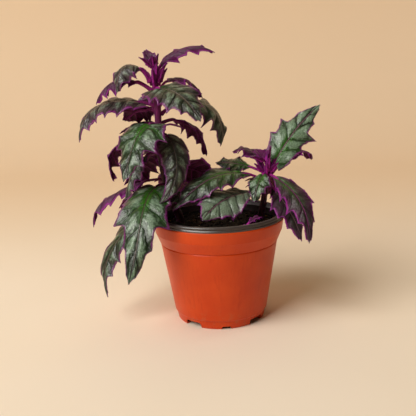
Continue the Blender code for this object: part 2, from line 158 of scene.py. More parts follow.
class Mask:
    def __init__(self, finish, socket):
        self.finish = finish
        self.socket = socket

    def maths(self, operation, first, second):
        return self.finish.node("Math", dict(operation=operation), {0: first, 1: second})

    def __add__(self, other):
        return self.maths("ADD", self, other)

    def __sub__(self, other):
        return self.maths("SUBTRACT", self, other)

    def __rsub__(self, other):
        return self.maths("SUBTRACT", other, self)

    def __mul__(self, other):
        return self.maths("MULTIPLY", self, other)

    def __truediv__(self, other):
        return self.maths("DIVIDE", self, other)

    def __pow__(self, other):
        return self.maths("POWER", self, other)

    __radd__ = __add__
    __rmul__ = __mul__

    def between(self, low, high):
        # 0 at low and 1 at high, with soft ends; high may be the lower number
        if low > high:
            return 1 - self.between(high, low)
        return self.finish.node("MapRange", dict(interpolation_type="SMOOTHSTEP"), {
            "Value": self, "From Min": low, "From Max": high})

    def fold(self):
        # distance to the nearest whole number, 0 to 1
        return self.maths("PINGPONG", self, 0.5) * 2

    def capped(self):
        return self.maths("MINIMUM", self.maths("MAXIMUM", self, 0.0), 1.0)


class Finish:
    def __init__(self, name, **constants):
        self.material = bpy.data.materials.new(name)
        self.material.use_nodes = True
        self.tree = self.material.node_tree
        self.shader = self.tree.nodes["Principled BSDF"]
        for socket, value in constants.items():
            self.shader.inputs[socket.replace("_", " ")].default_value = value

    def plug(self, socket, value):
        if isinstance(value, Mask):
            self.tree.links.new(value.socket, socket)
        else:
            socket.default_value = value

    def node(self, kind, settings, sockets, out=0):
        made = self.tree.nodes.new("ShaderNode" + kind)
        for key, value in settings.items():
            setattr(made, key, value)
        for key, value in sockets.items():
            self.plug(made.inputs[key], value)
        return Mask(self, made.outputs[out])

    def places(self, stretch=(1, 1, 1)):
        # places on the piece, in millimetres
        coords = self.node("TexCoord", {}, {}, out="Object")
        scale = [1 / (mm * value) for value in stretch]
        return self.node("Mapping", {}, {"Vector": coords, "Scale": scale})

    def number(self, name):
        # a number written on the piece's points
        return self.node("Attribute", dict(attribute_name=name), {}, out="Fac")

    def noise(self, where, size, detail=2.0, rough=0.5):
        return self.node("TexNoise", {}, {
            "Vector": where, "Scale": 1 / size, "Detail": detail, "Roughness": rough}, out="Fac")

    def cells(self, where, size, feature="F1"):
        return self.node("TexVoronoi", dict(feature=feature), {
            "Vector": where, "Scale": 1 / size}, out="Distance")

    def blend(self, first, second, factor):
        return self.node("Mix", dict(data_type="RGBA"), {0: factor, 6: first, 7: second}, out=2)

    def layers(self, colour, *coats):
        # coats of paint, each with the share that covers what lies under it
        for paint, share in coats:
            colour = self.blend(colour, paint, share)
        return colour

    def bump(self, height, depth, strength=1.0):
        # height 0 to 1, depth in millimetres
        return self.node("Bump", {}, {
            "Height": height, "Distance": depth * mm, "Strength": strength})

    def wire(self, **sockets):
        for socket, value in sockets.items():
            self.plug(self.shader.inputs[socket.replace("_", " ")], value)
        return self.material


# Camera, floor and light

cameraView = dict(back=530, height=217, lens=56.68, sensor=36, nearest=10, pitch=13.2, turn=-0.9,
                  tilt=-2.03)


def addCamera(view):
    deselectAll()
    bpy.ops.object.camera_add(location=(0, -view["back"] * mm, view["height"] * mm))
    camera = newest("photoCamera")
    camera.data.lens = view["lens"]
    camera.data.sensor_width = view["sensor"]
    camera.data.clip_start = view["nearest"] * mm
    pitch, turn, tilt = (math.radians(view[key]) for key in ("pitch", "turn", "tilt"))
    look = Vector((math.sin(turn) * math.cos(pitch), math.cos(turn) * math.cos(pitch),
                   -math.sin(pitch)))
    level = look.cross(Vector((0, 0, 1))).normalized()
    above = level.cross(look)
    right = level * math.cos(tilt) + above * math.sin(tilt)
    top = above * math.cos(tilt) - level * math.sin(tilt)
    turned = Matrix((right, top, -look)).transposed()
    camera.rotation_euler = turned.to_euler()
    bpy.context.scene.camera = camera


stageSizes = dict(reach=1400, front=900, wallAt=700, wallHeight=1500, bend=350, bendSteps=12)


def floorFinish():
    paper = Finish("peachPaper", Roughness=0.9)
    where = paper.places()
    # the sheet is painted darker from the floor towards the wall: painted shade where less light
    # reaches the back
    back = paper.node("SeparateXYZ", {}, {0: where}, out=1).between(-60, 640)
    shade = paper.noise(where, 260, 2).between(0.25, 0.75)
    grain = paper.noise(where, 1.2, 3)
    colour = paper.blend(rgb(247, 231, 208), rgb(251, 236, 215), shade)
    colour = paper.blend(colour, rgb(238, 212, 180), back)
    return paper.wire(Base_Color=colour, Normal=paper.bump(grain, 0.05, 0.3))


def addStage(sizes):
    # a paper sweep: floor, soft bend and wall in one sheet
    deselectAll()
    bpy.ops.mesh.primitive_plane_add(size=2 * sizes["reach"] * mm, location=(0, 0, 0))
    sweep = newest("paperSweep")
    clearChoice()
    for corner in sweep.data.vertices:
        corner.co.y = (sizes["wallAt"] if corner.co.y > 0 else -sizes["front"]) * mm
    for edge in sweep.data.edges:
        edge.select = all(sweep.data.vertices[i].co.y > 0 for i in edge.vertices)
    editOn()
    turns = [math.radians(90 * i / sizes["bendSteps"]) for i in range(sizes["bendSteps"] + 1)]
    bend = sizes["bend"] * mm
    steps = [(0, bend * (math.sin(after) - math.sin(before)),
              bend * (math.cos(before) - math.cos(after)))
             for before, after in zip(turns, turns[1:])]
    for step in steps + [(0, 0, sizes["wallHeight"] * mm)]:
        bpy.ops.mesh.extrude_edges_move(TRANSFORM_OT_translate=dict(value=step))
    editOff()
    bpy.ops.object.shade_smooth()
    sweep.data.materials.append(floorFinish())


# softboxes, each aimed at the plant unless it says otherwise
lamps = dict(
    key=dict(at=(-1260, -1095, 1600), size=1600, watts=55.5, colour=(1.0, 0.97, 0.92)),
    fill=dict(at=(1300, -1100, 900), size=1200, watts=0.05, colour=(1.0, 0.92, 0.82)),
    top=dict(at=(-100, 450, 1400), size=1000, watts=2.0, colour=(1.0, 0.82, 0.56)),
    wall=dict(at=(1000, 100, 900), size=500, watts=3.4, colour=(1.0, 0.96, 0.9),
              aim=(1400, 1000, 500)))
plantMiddle = (0, 0, 90)
room = dict(colour=(1.0, 0.74, 0.42, 1), strength=0.05, seen=(222, 190, 152))


def addLamps():
    for name, lamp in lamps.items():
        deselectAll()
        bpy.ops.object.light_add(type="AREA", location=[value * mm for value in lamp["at"]])
        light = newest(name + "Softbox")
        light.data.shape = "SQUARE"
        light.data.size = lamp["size"] * mm
        light.data.energy = lamp["watts"]
        light.data.color = lamp["colour"]
        aim = Vector(lamp.get("aim", plantMiddle)) * mm - light.location
        light.rotation_euler = aim.to_track_quat("-Z", "Y").to_euler()


def addRoom():
    world = bpy.data.worlds.new("paleRoom")
    world.use_nodes = True
    tree = world.node_tree
    ground = tree.nodes["Background"]
    ground.inputs["Color"].default_value = room["colour"]
    ground.inputs["Strength"].default_value = room["strength"]
    # past the edge of the floor the room looks as pale as the wall, and lights nothing
    backdrop = tree.nodes.new("ShaderNodeBackground")
    backdrop.inputs["Color"].default_value = rgb(*room["seen"])
    rays = tree.nodes.new("ShaderNodeLightPath")
    mix = tree.nodes.new("ShaderNodeMixShader")
    tree.links.new(rays.outputs["Is Camera Ray"], mix.inputs[0])
    tree.links.new(ground.outputs[0], mix.inputs[1])
    tree.links.new(backdrop.outputs[0], mix.inputs[2])
    tree.links.new(mix.outputs[0], tree.nodes["World Output"].inputs["Surface"])
    bpy.context.scene.world = world


addCamera(cameraView)
addStage(stageSizes)
addLamps()
addRoom()
bpy.context.scene.view_settings.view_transform = "Standard"
print("camera, floor and light set")


# Pot: one thin sheet, terracotta outside, black at the lip and inside

potSizes = dict(
    sheet=1.2, sides=144, edge=0.45, edgeAngle=16, smoothAngle=32, blackFrom=85.0,
    outline=((50.3, 89.1), (51.3, 89.6), (52.6, 89.5), (53.3, 88.9), (53.6, 88.1), (53.0, 87.5),
             (52.7, 86.9), (53.2, 86.4), (53.5, 85.9), (53.3, 85.3), (53.3, 84.9), (54.1, 84.7),
             (54.2, 84.1), (53.5, 80.0), (52.8, 75.4), (52.4, 74.8), (49.4, 67.4), (49.2, 66.9),
             (48.3, 66.6), (48.2, 66.0), (48.6, 65.4), (46.3, 51.5), (43.8, 36.7), (41.3, 21.9),
             (39.1, 8.2), (38.8, 7.6), (38.1, 7.3), (37.7, 6.7), (36.7, 0.7), (36.0, 0.0),
             (31.8, 0.0), (31.0, 5.4), (30.2, 6.0), (17.4, 6.0), (16.4, 5.4), (15.2, 0.0),
             (0.0, 0.0)),
    arches=4, firstArch=-84, archRing=34, archDepth=14, archBelow=-2, archRound=0.45,
    smallArch=(7.4, 2.3), wideGap=(15.5, 4.6),
    drainRing=23.8, drainRadius=3.6, drainAt=7.2, drainDepth=5)


def terracottaFinish():
    plastic = Finish("terracottaPlastic", IOR=1.5, Specular_IOR_Level=0.3)
    where = plastic.places()
    streaks = plastic.noise(plastic.places((2.2, 2.2, 60)), 1, 3, 0.6)
    cloud = plastic.noise(where, 22, 3).between(0.3, 0.7)
    grain = plastic.noise(where, 0.5, 2)
    height = plastic.node("SeparateXYZ", {}, {0: where}, out=2)
    dusty = (plastic.noise(where, 5, 4).between(0.48, 0.75) * height.between(26, 2) * 0.5
             + plastic.noise(where, 3, 3).between(0.66, 0.8) * 0.12)
    colour = plastic.blend(rgb(204, 64, 12), rgb(212, 72, 16), cloud)
    colour = plastic.blend(colour, rgb(184, 50, 9), streaks.between(0.52, 0.75) * 0.35)
    colour = plastic.blend(colour, rgb(184, 108, 70), dusty.capped())
    rough = 0.3 + grain * 0.08 + cloud * 0.06 + dusty * 0.25
    relief = grain * 0.35 + streaks * 0.65
    return plastic.wire(Base_Color=colour, Roughness=rough, Normal=plastic.bump(relief, 0.06, 0.5))


def blackFinish():
    plastic = Finish("blackPlastic", IOR=1.5, Specular_IOR_Level=0.8)
    where = plastic.places()
    grain = plastic.noise(where, 0.6, 3)
    # lighter level streaks: partly scuffs, partly painted highlight standing for the shine along
    # the lip's ridges
    scuffsAndRidgeHighlights = plastic.noise(plastic.places((14, 14, 0.7)), 1, 3).between(0.55, 0.72)
    dust = plastic.noise(where, 2.2, 4).between(0.55, 0.8)
    colour = plastic.blend(rgb(64, 57, 55), rgb(112, 100, 94), scuffsAndRidgeHighlights * 0.6)
    colour = plastic.blend(colour, rgb(112, 96, 82), dust * 0.35)
    return plastic.wire(Base_Color=colour, Roughness=0.22 + grain * 0.16 + dust * 0.2,
                        Normal=plastic.bump(grain, 0.05, 0.5))


def turnOutline(name, outline, sides):
    # a ring drawn down along the outline, extruded and resized from step to step
    deselectAll()
    bpy.ops.mesh.primitive_circle_add(vertices=sides, radius=outline[0][0] * mm)
    piece = newest(name)
    editOn()
    bpy.ops.mesh.select_all(action="SELECT")
    bpy.ops.transform.translate(value=(0, 0, outline[0][1] * mm))
    for (radius, height), (nextRadius, nextHeight) in zip(outline, outline[1:]):
        step = (0, 0, (nextHeight - height) * mm)
        bpy.ops.mesh.extrude_edges_move(TRANSFORM_OT_translate=dict(value=step))
        if nextRadius == 0:
            bpy.ops.mesh.merge(type="CENTER")
        else:
            growth = nextRadius / radius
            bpy.ops.transform.resize(value=(growth, growth, 1), center_override=(0, 0, 0))
    bpy.ops.mesh.select_all(action="SELECT")
    bpy.ops.mesh.normals_make_consistent(inside=False)
    editOff()
    return piece


def cutAway(piece, cutters):
    cutter = joinPieces(cutters[0], cutters[1:])
    applyModifier(piece, "BOOLEAN", operation="DIFFERENCE", object=cutter, solver="MANIFOLD")
    bpy.data.objects.remove(cutter)


def ringPlace(turn, ring, height=0):
    return (ring * math.cos(turn) * mm, ring * math.sin(turn) * mm, height * mm)


def footCutter(turn, width, height, sizes):
    # a block across the foot with its top corners rounded into an arch
    deselectAll()
    bpy.ops.mesh.primitive_cube_add(size=1)
    cutter = newest("footCutter")
    for corner in cutter.data.vertices:
        corner.co.x *= sizes["archDepth"] * mm
        corner.co.y *= width * mm
        corner.co.z = (height if corner.co.z > 0 else sizes["archBelow"]) * mm
    clearChoice()
    for edge in cutter.data.edges:
        ends = [cutter.data.vertices[i].co for i in edge.vertices]
        edge.select = all(end.z > 0 for end in ends) and abs(ends[0].y - ends[1].y) < mm
    editOn()
    bpy.ops.mesh.bevel(offset=height * sizes["archRound"] * mm, segments=6, affect="EDGES")
    editOff()
    cutter.rotation_euler = (0, 0, turn)
    cutter.location = ringPlace(turn, sizes["archRing"])
    return cutter


def drainCutter(turn, sizes):
    deselectAll()
    bpy.ops.mesh.primitive_cylinder_add(
        vertices=40, radius=sizes["drainRadius"] * mm, depth=sizes["drainDepth"] * mm,
        location=ringPlace(turn, sizes["drainRing"], sizes["drainAt"]))
    return newest("drainCutter")


def addPot(sizes):
    pot = turnOutline("nurseryPot", sizes["outline"], sizes["sides"])
    applyModifier(pot, "BEVEL", width=sizes["edge"] * mm, segments=3, limit_method="ANGLE",
                  angle_limit=math.radians(sizes["edgeAngle"]), use_clamp_overlap=True)
    pot.data.materials.append(terracottaFinish())
    black = blackFinish()
    pot.data.materials.append(black)
    pot.data.materials.append(black)
    for face in pot.data.polygons:
        face.material_index = 1 if face.center.z > sizes["blackFrom"] * mm else 0
    applyModifier(pot, "SOLIDIFY", thickness=sizes["sheet"] * mm, offset=-1, use_even_offset=True,
                  material_offset=1, material_offset_rim=1)
    cutters = []
    step = 360 / sizes["arches"]
    for i in range(sizes["arches"]):
        arch = math.radians(sizes["firstArch"] + step * i)
        gap = math.radians(sizes["firstArch"] + step * (i + 0.5))
        cutters.append(footCutter(arch, *sizes["smallArch"], sizes))
        cutters.append(footCutter(gap, *sizes["wideGap"], sizes))
        cutters.append(drainCutter(gap, sizes))
    cutAway(pot, cutters)
    pick(pot)
    bpy.ops.object.shade_smooth_by_angle(angle=math.radians(sizes["smoothAngle"]))
    return finishPiece(pot, "terracotta_plastic", "pot")


addPot(potSizes)
print("pot turned, cut and coloured")


# Soil: a dark, lumpy bed with crumbs, fibres and a few white grains

soilSizes = dict(
    level=79.0, radius=51.9, rim=1.5, bump=1.1, lumps=0.8, crumbs=0.6, sides=96, rings=24,
    outline=((51.9, 79.0), (51.2, 75.2), (47.3, 66.5), (37.0, 7.6), (16.9, 7.6), (15.0, 6.4),
             (13.8, 1.5), (0, 1.5)))


def soilHeight(x, y):
    # coarse waves as in the solid, then lumps and crumbs
    coarse = math.sin(x / 6.1 + 0.7) * math.cos(y / 7.3 - 0.4)
    fine = math.sin(x / 2.9 + y / 3.7)
    lumps = noise.noise(Vector((x / 3.1, y / 3.1, 0.3))) * soilSizes["lumps"]
    crumbs = noise.noise(Vector((x / 1.3, y / 1.3, 4.7))) * soilSizes["crumbs"]
    waves = soilSizes["bump"] * (0.6 * coarse + 0.4 * fine)
    return soilSizes["level"] + waves + (lumps + crumbs)


def soilFinish():
    soil = Finish("pottingSoil", Specular_IOR_Level=0.3)
    where = soil.places()
    lumps = soil.noise(where, 2.4, 5, 0.65)
    specks = soil.cells(where, 0.9)
    fibres = soil.noise(soil.places((4.5, 0.5, 0.5)), 1, 3).between(0.6, 0.75)
    colour = soil.blend(rgb(13, 9, 9), rgb(36, 26, 21), lumps.between(0.35, 0.75))
    colour = soil.blend(colour, rgb(74, 50, 34), fibres * 0.5)
    colour = soil.blend(colour, rgb(92, 74, 56), specks.between(0.12, 0.03) * 0.35)
    return soil.wire(Base_Color=colour, Roughness=0.78 + lumps * 0.2,
                     Normal=soil.bump(lumps * 0.7 + specks * 0.3, 0.9))


def grainFinish(name, pale, dark, size):
    grain = Finish(name, Specular_IOR_Level=0.35)
    pits = grain.noise(grain.places(), size, 4, 0.6)
    colour = grain.blend(rgb(*dark), rgb(*pale), pits.between(0.3, 0.65))
    return grain.wire(Base_Color=colour, Roughness=0.7 + pits * 0.25,
                      Normal=grain.bump(pits, 0.25))


def addSoil(sizes):
    rings = [(sizes["radius"] * (sizes["rings"] - i) / sizes["rings"], sizes["level"])
             for i in range(sizes["rings"])] + [(0, sizes["level"])]
    soil = turnOutline("pottingSoilBed", rings, sizes["sides"])
    editOn()
    bpy.ops.mesh.select_all(action="SELECT")
    bpy.ops.mesh.subdivide(number_cuts=1)
    editOff()
    for point in soil.data.vertices:
        x, y, _ = point.co / mm
        edge = min(1.0, (sizes["radius"] - math.hypot(x, y)) / sizes["rim"])
        point.co.z = (sizes["level"] + (soilHeight(x, y) - sizes["level"]) * edge) * mm
    joinPieces(soil, [turnOutline("soilSides", sizes["outline"], 2 * sizes["sides"])])
    closeSeams(0.02)
    bpy.ops.object.shade_smooth()
    soil.data.materials.append(soilFinish())
    return finishPiece(soil, "potting_soil", "soil")


# what lies on the soil; a size is drawn for each grain, and the first spots are fixed
looseBits = dict(
    soilCrumbs=dict(finish=("soilCrumb", (58, 42, 32), (16, 11, 10), 0.8), count=330, spotSeed=5,
                    size=(0.5, 1.9), stretch=(1, 1, 0.8), dents=0.5, seed=11, fixed=()),
    barkShreds=dict(finish=("barkShred", (112, 78, 50), (48, 30, 20), 0.9), count=46, spotSeed=8,
                    size=(0.9, 1.8), stretch=(2.3, 0.6, 0.4), dents=0.5, seed=21, fixed=()),
    perliteGrains=dict(finish=("perlite", (226, 218, 205), (160, 150, 138), 0.5), count=11,
                       spotSeed=17, size=(0.7, 1.2), stretch=(1, 0.9, 0.8), dents=0.5, seed=31,
                       fixed=((-16.2, -5.6),)),
    feedGrains=dict(finish=("slowFeed", (196, 164, 60), (120, 90, 30), 0.5), count=5, spotSeed=29,
                    size=(0.7, 1.0), stretch=(1, 1, 0.9), dents=0.15, seed=41,
                    fixed=((47.0, 14.0),)))
strewing = dict(reach=50.0, tip=0.35, clear=0.35)  # tip in radians; clear is a share of the height


def soilSpots(count, seed):
    draw = np.random.RandomState(seed)
    turn = draw.rand(count) * 2 * math.pi
    out = strewing["reach"] * np.sqrt(draw.rand(count))
    return np.stack([out * np.cos(turn), out * np.sin(turn)], 1).tolist()


def looseGrain(name, seed, dents):
    # one crumb: an icosphere dented by noise
    deselectAll()
    bpy.ops.mesh.primitive_ico_sphere_add(subdivisions=2, radius=1)
    grain = newest(name)
    for point in grain.data.vertices:
        spot = point.co.normalized()
        dent = (noise.noise(spot * 1.3 + Vector((seed, 0, 0)))
                + 0.5 * noise.noise(spot * 3 + Vector((0, seed, 0))))
        point.co = spot * (1 + dents * dent)
    return grain


def scatterGrains(name, bits):
    # copies of three crumbs, each with its own mesh, turned and sized by a seeded draw
    draw = np.random.RandomState(bits["seed"])
    models = [looseGrain(name + "Model", bits["seed"] + i, bits["dents"]) for i in range(3)]
    small, large = bits["size"]
    copies = []
    spots = list(bits["fixed"]) + soilSpots(bits["count"], bits["spotSeed"])
    for i, (x, y) in enumerate(spots):
        size = small + (large - small) * draw.rand() ** 2
        copy = models[i % 3].copy()
        copy.data = models[i % 3].data.copy()
        bpy.context.collection.objects.link(copy)
        copy.scale = [size * mm * value for value in bits["stretch"]]
        tips = [draw.uniform(-strewing["tip"], strewing["tip"]) for _ in range(2)]
        copy.rotation_euler = (*tips, draw.rand() * 6.28)
        clear = size * bits["stretch"][2] * strewing["clear"]
        copy.location = (x * mm, y * mm, (soilHeight(x, y) + clear) * mm)
        copies.append(copy)
    for model in models:
        bpy.data.objects.remove(model)
    grains = joinPieces(copies[0], copies[1:])
    grains.name = name
    pick(grains)
    bpy.ops.object.shade_smooth()
    grains.data.materials.append(grainFinish(*bits["finish"]))
    return finishPiece(grains, "potting_soil")


addSoil(soilSizes)
for bitsName, bits in looseBits.items():
    scatterGrains(bitsName, bits)
print("soil filled in and strewn")


# Stems: a rod along each line, thicker where a leaf stands on it, and covered in short hairs

tallStem = dict(name="tallStem", node="stem_tall", radius=(3.4, 2.5), seed=3, hairs=1500, line=(
    (-32, 5, 52), (-32, 5, 84), (-36, 4, 94), (-42, 2, 112), (-45, 1, 135),
    (-46, 0, 155), (-46, 0, 176), (-47, 0, 196), (-47, 0, 203)))
shortStem = dict(name="shortStem", node="stem_short", radius=(2.9, 2.3), seed=4, hairs=700, line=(
    (36, 7, 52), (36, 7, 84), (38, 5, 94), (40, 2, 110), (41, 0, 126)))
basalStem = dict(name="basalStem", node="stem_basal", radius=(1.5, 1.2), seed=5, hairs=60, line=(
    (20, -33, 62), (20, -33, 81), (20.5, -34, 86)))

# Leaves. Each has the height of its foot on the stem, its whole length, the width of its blade and
# the length of its stalk, then heading (turn) and slope (rise) at even steps along the midrib.
# roll turns the blade about the midrib, swing bends it sideways, fold lifts or drops both halves.
# Shares of the half width: cut is the depth of the teeth, heart the width at the base, waist how
# much it narrows past the widest place, which is at peak. taper draws out the tip, and crowd moves
# the teeth towards the base. lobes is how far the two base corners reach back, and toothSizes has
# a row for each side, from base to tip; the right side, seen from the foot, comes first. wave is
# the height and waves the number of ruffles, hook how far the teeth bend down, girth the share of
# the usual stalk thickness, and flush how purple a young blade is. A look says how much silver the
# upper side has, a painted highlight on its crests, and how green and violet it is.

leafBasics = dict(
    roll=0, swing=0, fold=-10, teeth=5, cut=0.3, heart=0.05, peak=0.38, taper=1.1, crowd=1.1,
    waist=0.0, lobes=(0, 0), wave=1.5, waves=2.3, hook=1.5, toothSizes=None, girth=1.0,
    look="dark", young=False, flush=0)

leafLooks = dict(
    silver=dict(silver=1.0, green=1.4, haze=0.02, pink=0.1),
    forest=dict(silver=0.62, green=1.5, haze=0.03, pink=0.1),
    green=dict(silver=0.5, green=1.4, haze=0.07, pink=0.8),
    # this look lifts B10, which lies in B07's shade, with much painted silver: painted light on a
    # shaded leaf
    pearl=dict(silver=2.6, green=0.1, haze=0.24, pink=0.7),
    dusky=dict(silver=0.10, green=0.9, haze=0.55, pink=0.9),
    plum=dict(silver=0.0, green=0.0, haze=0.45, pink=0.6),
    glossy=dict(silver=0.62, green=0.4, haze=0.20, pink=0.3),
    hazy=dict(silver=0.5, green=0.2, haze=0.40, pink=0.5),
    dark=dict(silver=0.42, green=0.4, haze=0.10, pink=0.2),
    night=dict(silver=0.75, green=0.05, haze=0.28, pink=0.05),
    bright=dict(silver=1.7, green=1.2, haze=0.02, pink=0.7),
    violet=dict(silver=0.06, green=0.0, haze=1.1, pink=0.9))

tallLeaves = dict(
    A01=dict(height=201, length=60, width=13, stalk=7, turn=(70, 5, -5, -5),
             rise=(76, 34, 4, -36), roll=(15, 35, 35, 15), fold=-30, cut=0.22, girth=1.3, seed=1,
             look="violet"),
    A02=dict(height=198, length=49, width=25, stalk=11, turn=(-168, -148, -134),
             rise=(74, 24, -58, -90), roll=-15, fold=-25, girth=1.6, seed=3, look="hazy"),
    A03=dict(height=191, length=56, width=20, stalk=12, turn=(180, 180, 182),
             rise=(42, 12, -36, -75), roll=-15, fold=-30, cut=0.5, girth=1.5, seed=4,
             look="violet"),
    A04=dict(height=192, length=63, width=33, stalk=5, turn=(-72, -42, -40),
             rise=(8, -8, -38, -55), roll=(16, 26), fold=-8, cut=0.24, heart=0.75, lobes=(5, 3),
             teeth=6, girth=1.2, seed=5, look="glossy"),
    A05=dict(height=188, length=57, width=20, stalk=14, turn=(68, 42, 24, 16),
             rise=(48, 18, -34, -70), fold=-20, cut=0.3, seed=7, look="violet"),
    A06=dict(height=179, length=80, width=32, stalk=10, turn=(180, 182, 186),
             rise=(18, 0, -42, -92), roll=(-14, -20), fold=-14, cut=0.26, heart=0.3, teeth=6,
             seed=8, look="hazy", girth=1.4),
    A07=dict(height=181, length=54, width=26, stalk=12, turn=(98, 95, 90), rise=(22, -8, -42),
             fold=-12, seed=33),
    A08=dict(height=175, length=33, width=27, stalk=4, turn=(150, 150), rise=(20, -22, -45),
             roll=(30, 45), heart=0.4, seed=9, look="violet", girth=1.4),
    A09=dict(height=172, length=80, width=34, stalk=15, turn=(30, 8, -5),
             rise=(38, -2, -60, -112), roll=(10, 30), fold=-14, cut=0.5, hook=2.5, seed=6,
             girth=1.4),
    A10=dict(height=164, length=64, width=16, stalk=12, turn=(42, 37, 27),
             rise=(20, -18, -56, -86), roll=-20, fold=-30, cut=0.5, seed=12, look="violet",
             girth=1.3),
    A11=dict(height=163, length=67, width=40, stalk=8, turn=(-115, -123, -130),
             rise=(25, -30, -62, -66), cut=0.36, heart=1.1, lobes=(17, 12), waist=0.18, seed=10,
             look="forest", toothSizes=((0.1, 0.6, 1.0, 0.9, 0.6), (0.1, 1.0, 1.2, 1.0, 0.6))),
    A12=dict(height=163, length=48, width=32, stalk=9, turn=(128, 134, 138), rise=(18, -22, -60),
             fold=-12, seed=35),
    A13=dict(height=156, length=72, width=27, stalk=9, turn=(-56, -63, -66),
             rise=(12, -42, -66, -73, -75), roll=8, swing=(0, 0, -8, -30, -58), fold=-18,
             cut=0.14, heart=0.4, waist=0.12, peak=0.26, teeth=6, seed=11, look="night",
             toothSizes=((0.3, 0.4, 0.4, 0.4, 0.4, 0.4), (0.8, 0.9, 1.1, 0.8, 0.8, 0.5))),
    A14=dict(height=150, length=70, width=17, stalk=14, turn=(160, 165, 170),
             rise=(8, -8, -68, -118), roll=20, fold=-30, cut=0.5, seed=13, look="violet"),
    A15=dict(height=148, length=66, width=32, stalk=12, turn=(92, 94, 92), rise=(5, -28, -62),
             fold=-12, seed=34),
    A16=dict(height=140, length=62, width=30, stalk=12, turn=(134, 124, 118),
             rise=(-8, -44, -76), fold=-12, seed=36),
    A17=dict(height=141, length=52, width=20, stalk=10, turn=(-146, -154),
             rise=(4, -38, -70, -75), fold=-25, cut=0.2, seed=15, look="glossy"),
    A18=dict(height=138, length=28, width=22, stalk=7, turn=(68, 70), rise=(12, -45, -70),
             teeth=4, seed=17),
    A19=dict(height=127, length=46, width=32, stalk=10, turn=(25, 16), rise=(12, -22, -48),
             roll=-45, cut=0.12, seed=21),
    A20=dict(height=122, length=70, width=34, stalk=14, turn=(80, 78, 76), rise=(0, -30, -65),
             fold=-12, seed=37),
    A21=dict(height=118, length=78, width=16, stalk=14, turn=(180, 182), rise=(0, -20, -38, -98),
             roll=-10, fold=-25, seed=14, look="violet"),
    A22=dict(height=114, length=106, width=38, stalk=12, turn=(-115, -100, -104),
             rise=(12, -27, -61, -76), swing=(0, 0, -4, -14), fold=-8, cut=0.34, heart=0.7,
             lobes=(3, 3), waist=0.22, peak=0.4, taper=1.0, crowd=1.25, seed=18, look="silver",
             toothSizes=((0.3, 0.7, 1.3, 0.5, 0.4), (0.3, 0.5, 1.2, 0.5, 0.4))),
    A23=dict(height=110, length=28, width=22, stalk=8, turn=(-58, -66), rise=(8, -20, -45),
             teeth=4, seed=20),
    A24=dict(height=108, length=78, width=34, stalk=12, turn=(140, 140, 145),
             rise=(10, -20, -60, -75), fold=-12, seed=38),
    A25=dict(height=96, length=104, width=26, stalk=12, turn=(-172, -165, -162),
             rise=(-8, -38, -62, -92), roll=(-6, -18, -22), swing=(0, 0, 5, 30), fold=-12,
             cut=0.3, teeth=6, seed=19, look="dark"))

shortLeaves = dict(
    B01=dict(height=123, length=73, width=28, stalk=6, turn=(34, 34, 28), rise=(54, 43, 30),
             roll=(42, 42), fold=-8, cut=0.38, heart=0.45, peak=0.28, taper=1.0, seed=22,
             look="bright", toothSizes=((0.3, 0.5, 1.6, 0.5, 0.5), (0.8, 0.9, 1.4, 0.4, 0.4))),
    B02=dict(height=117, length=54, width=18, stalk=15, turn=(32, 28), rise=(42, 37, 3, -78),
             fold=-10, cut=0.2, peak=0.55, teeth=4, seed=23, look="violet"),
    B03=dict(height=120, length=76, width=21, stalk=8, turn=(-54, -57, -62),
             rise=(-8, -27, -54, -84), roll=(25, 18, 10), swing=(0, 0, -8), fold=-12, cut=0.3,
             peak=0.35, hook=2.2, seed=24, look="dusky"),
    B04=dict(height=121.5, length=40, width=23, stalk=11, turn=(166, 172, 176),
             rise=(26, 12, -4), roll=(-16, -24), fold=-8, cut=0.2, seed=40, look="green"),
    B05=dict(height=124, length=38, width=22, stalk=7, turn=(118, 148, 162), rise=(60, 28, -42),
             fold=-10, cut=0.2, teeth=4, seed=29, look="violet"),
    B06=dict(height=121, length=34, width=18, stalk=5, turn=(-112, -125), rise=(12, -44, -75),
             cut=0.15, teeth=4, seed=26, look="silver"),
    B07=dict(height=115, length=88, width=30, stalk=15, turn=(-166, -157, -151, -153),
             rise=(34, 0, -28, -43), roll=(-10, -18, -26), cut=0.2, heart=0.15, peak=0.36,
             teeth=6, wave=1.8, seed=27, look="green",
             toothSizes=((0.3, 0.3, 0.3, 0.3, 0.3, 0.3), (0.5, 0.7, 0.9, 0.8, 0.5, 0.4))),
    B08=dict(height=113, length=60, width=22, stalk=8, turn=(-60, -56, -54),
             rise=(-26, -42, -70), fold=-15, cut=0.24, seed=25, look="plum"),
    B09=dict(height=112, length=66, width=34, stalk=12, turn=(85, 80, 80), rise=(15, -20, -65),
             fold=-12, seed=39),
    # B10 lies in B07's shade; its look paints it lighter, painted light
    B10=dict(height=105, length=70, width=33, stalk=12, turn=(-149, -135, -131),
             rise=(10, -8, -36), roll=(-8, -26, -44), fold=-8, cut=0.09, peak=0.5, teeth=6,
             seed=28, look="pearl"),
    B11=dict(height=106, length=62, width=30, stalk=12, turn=(30, 35, 40), rise=(0, -38, -72),
             fold=-12, seed=41))

basalLeaves = dict(
    Low=dict(height=85, length=15, width=8, stalk=3, turn=(30, 20), rise=(55, 20, -10), fold=10,
             teeth=3, wave=0.6, seed=42, look="violet"))

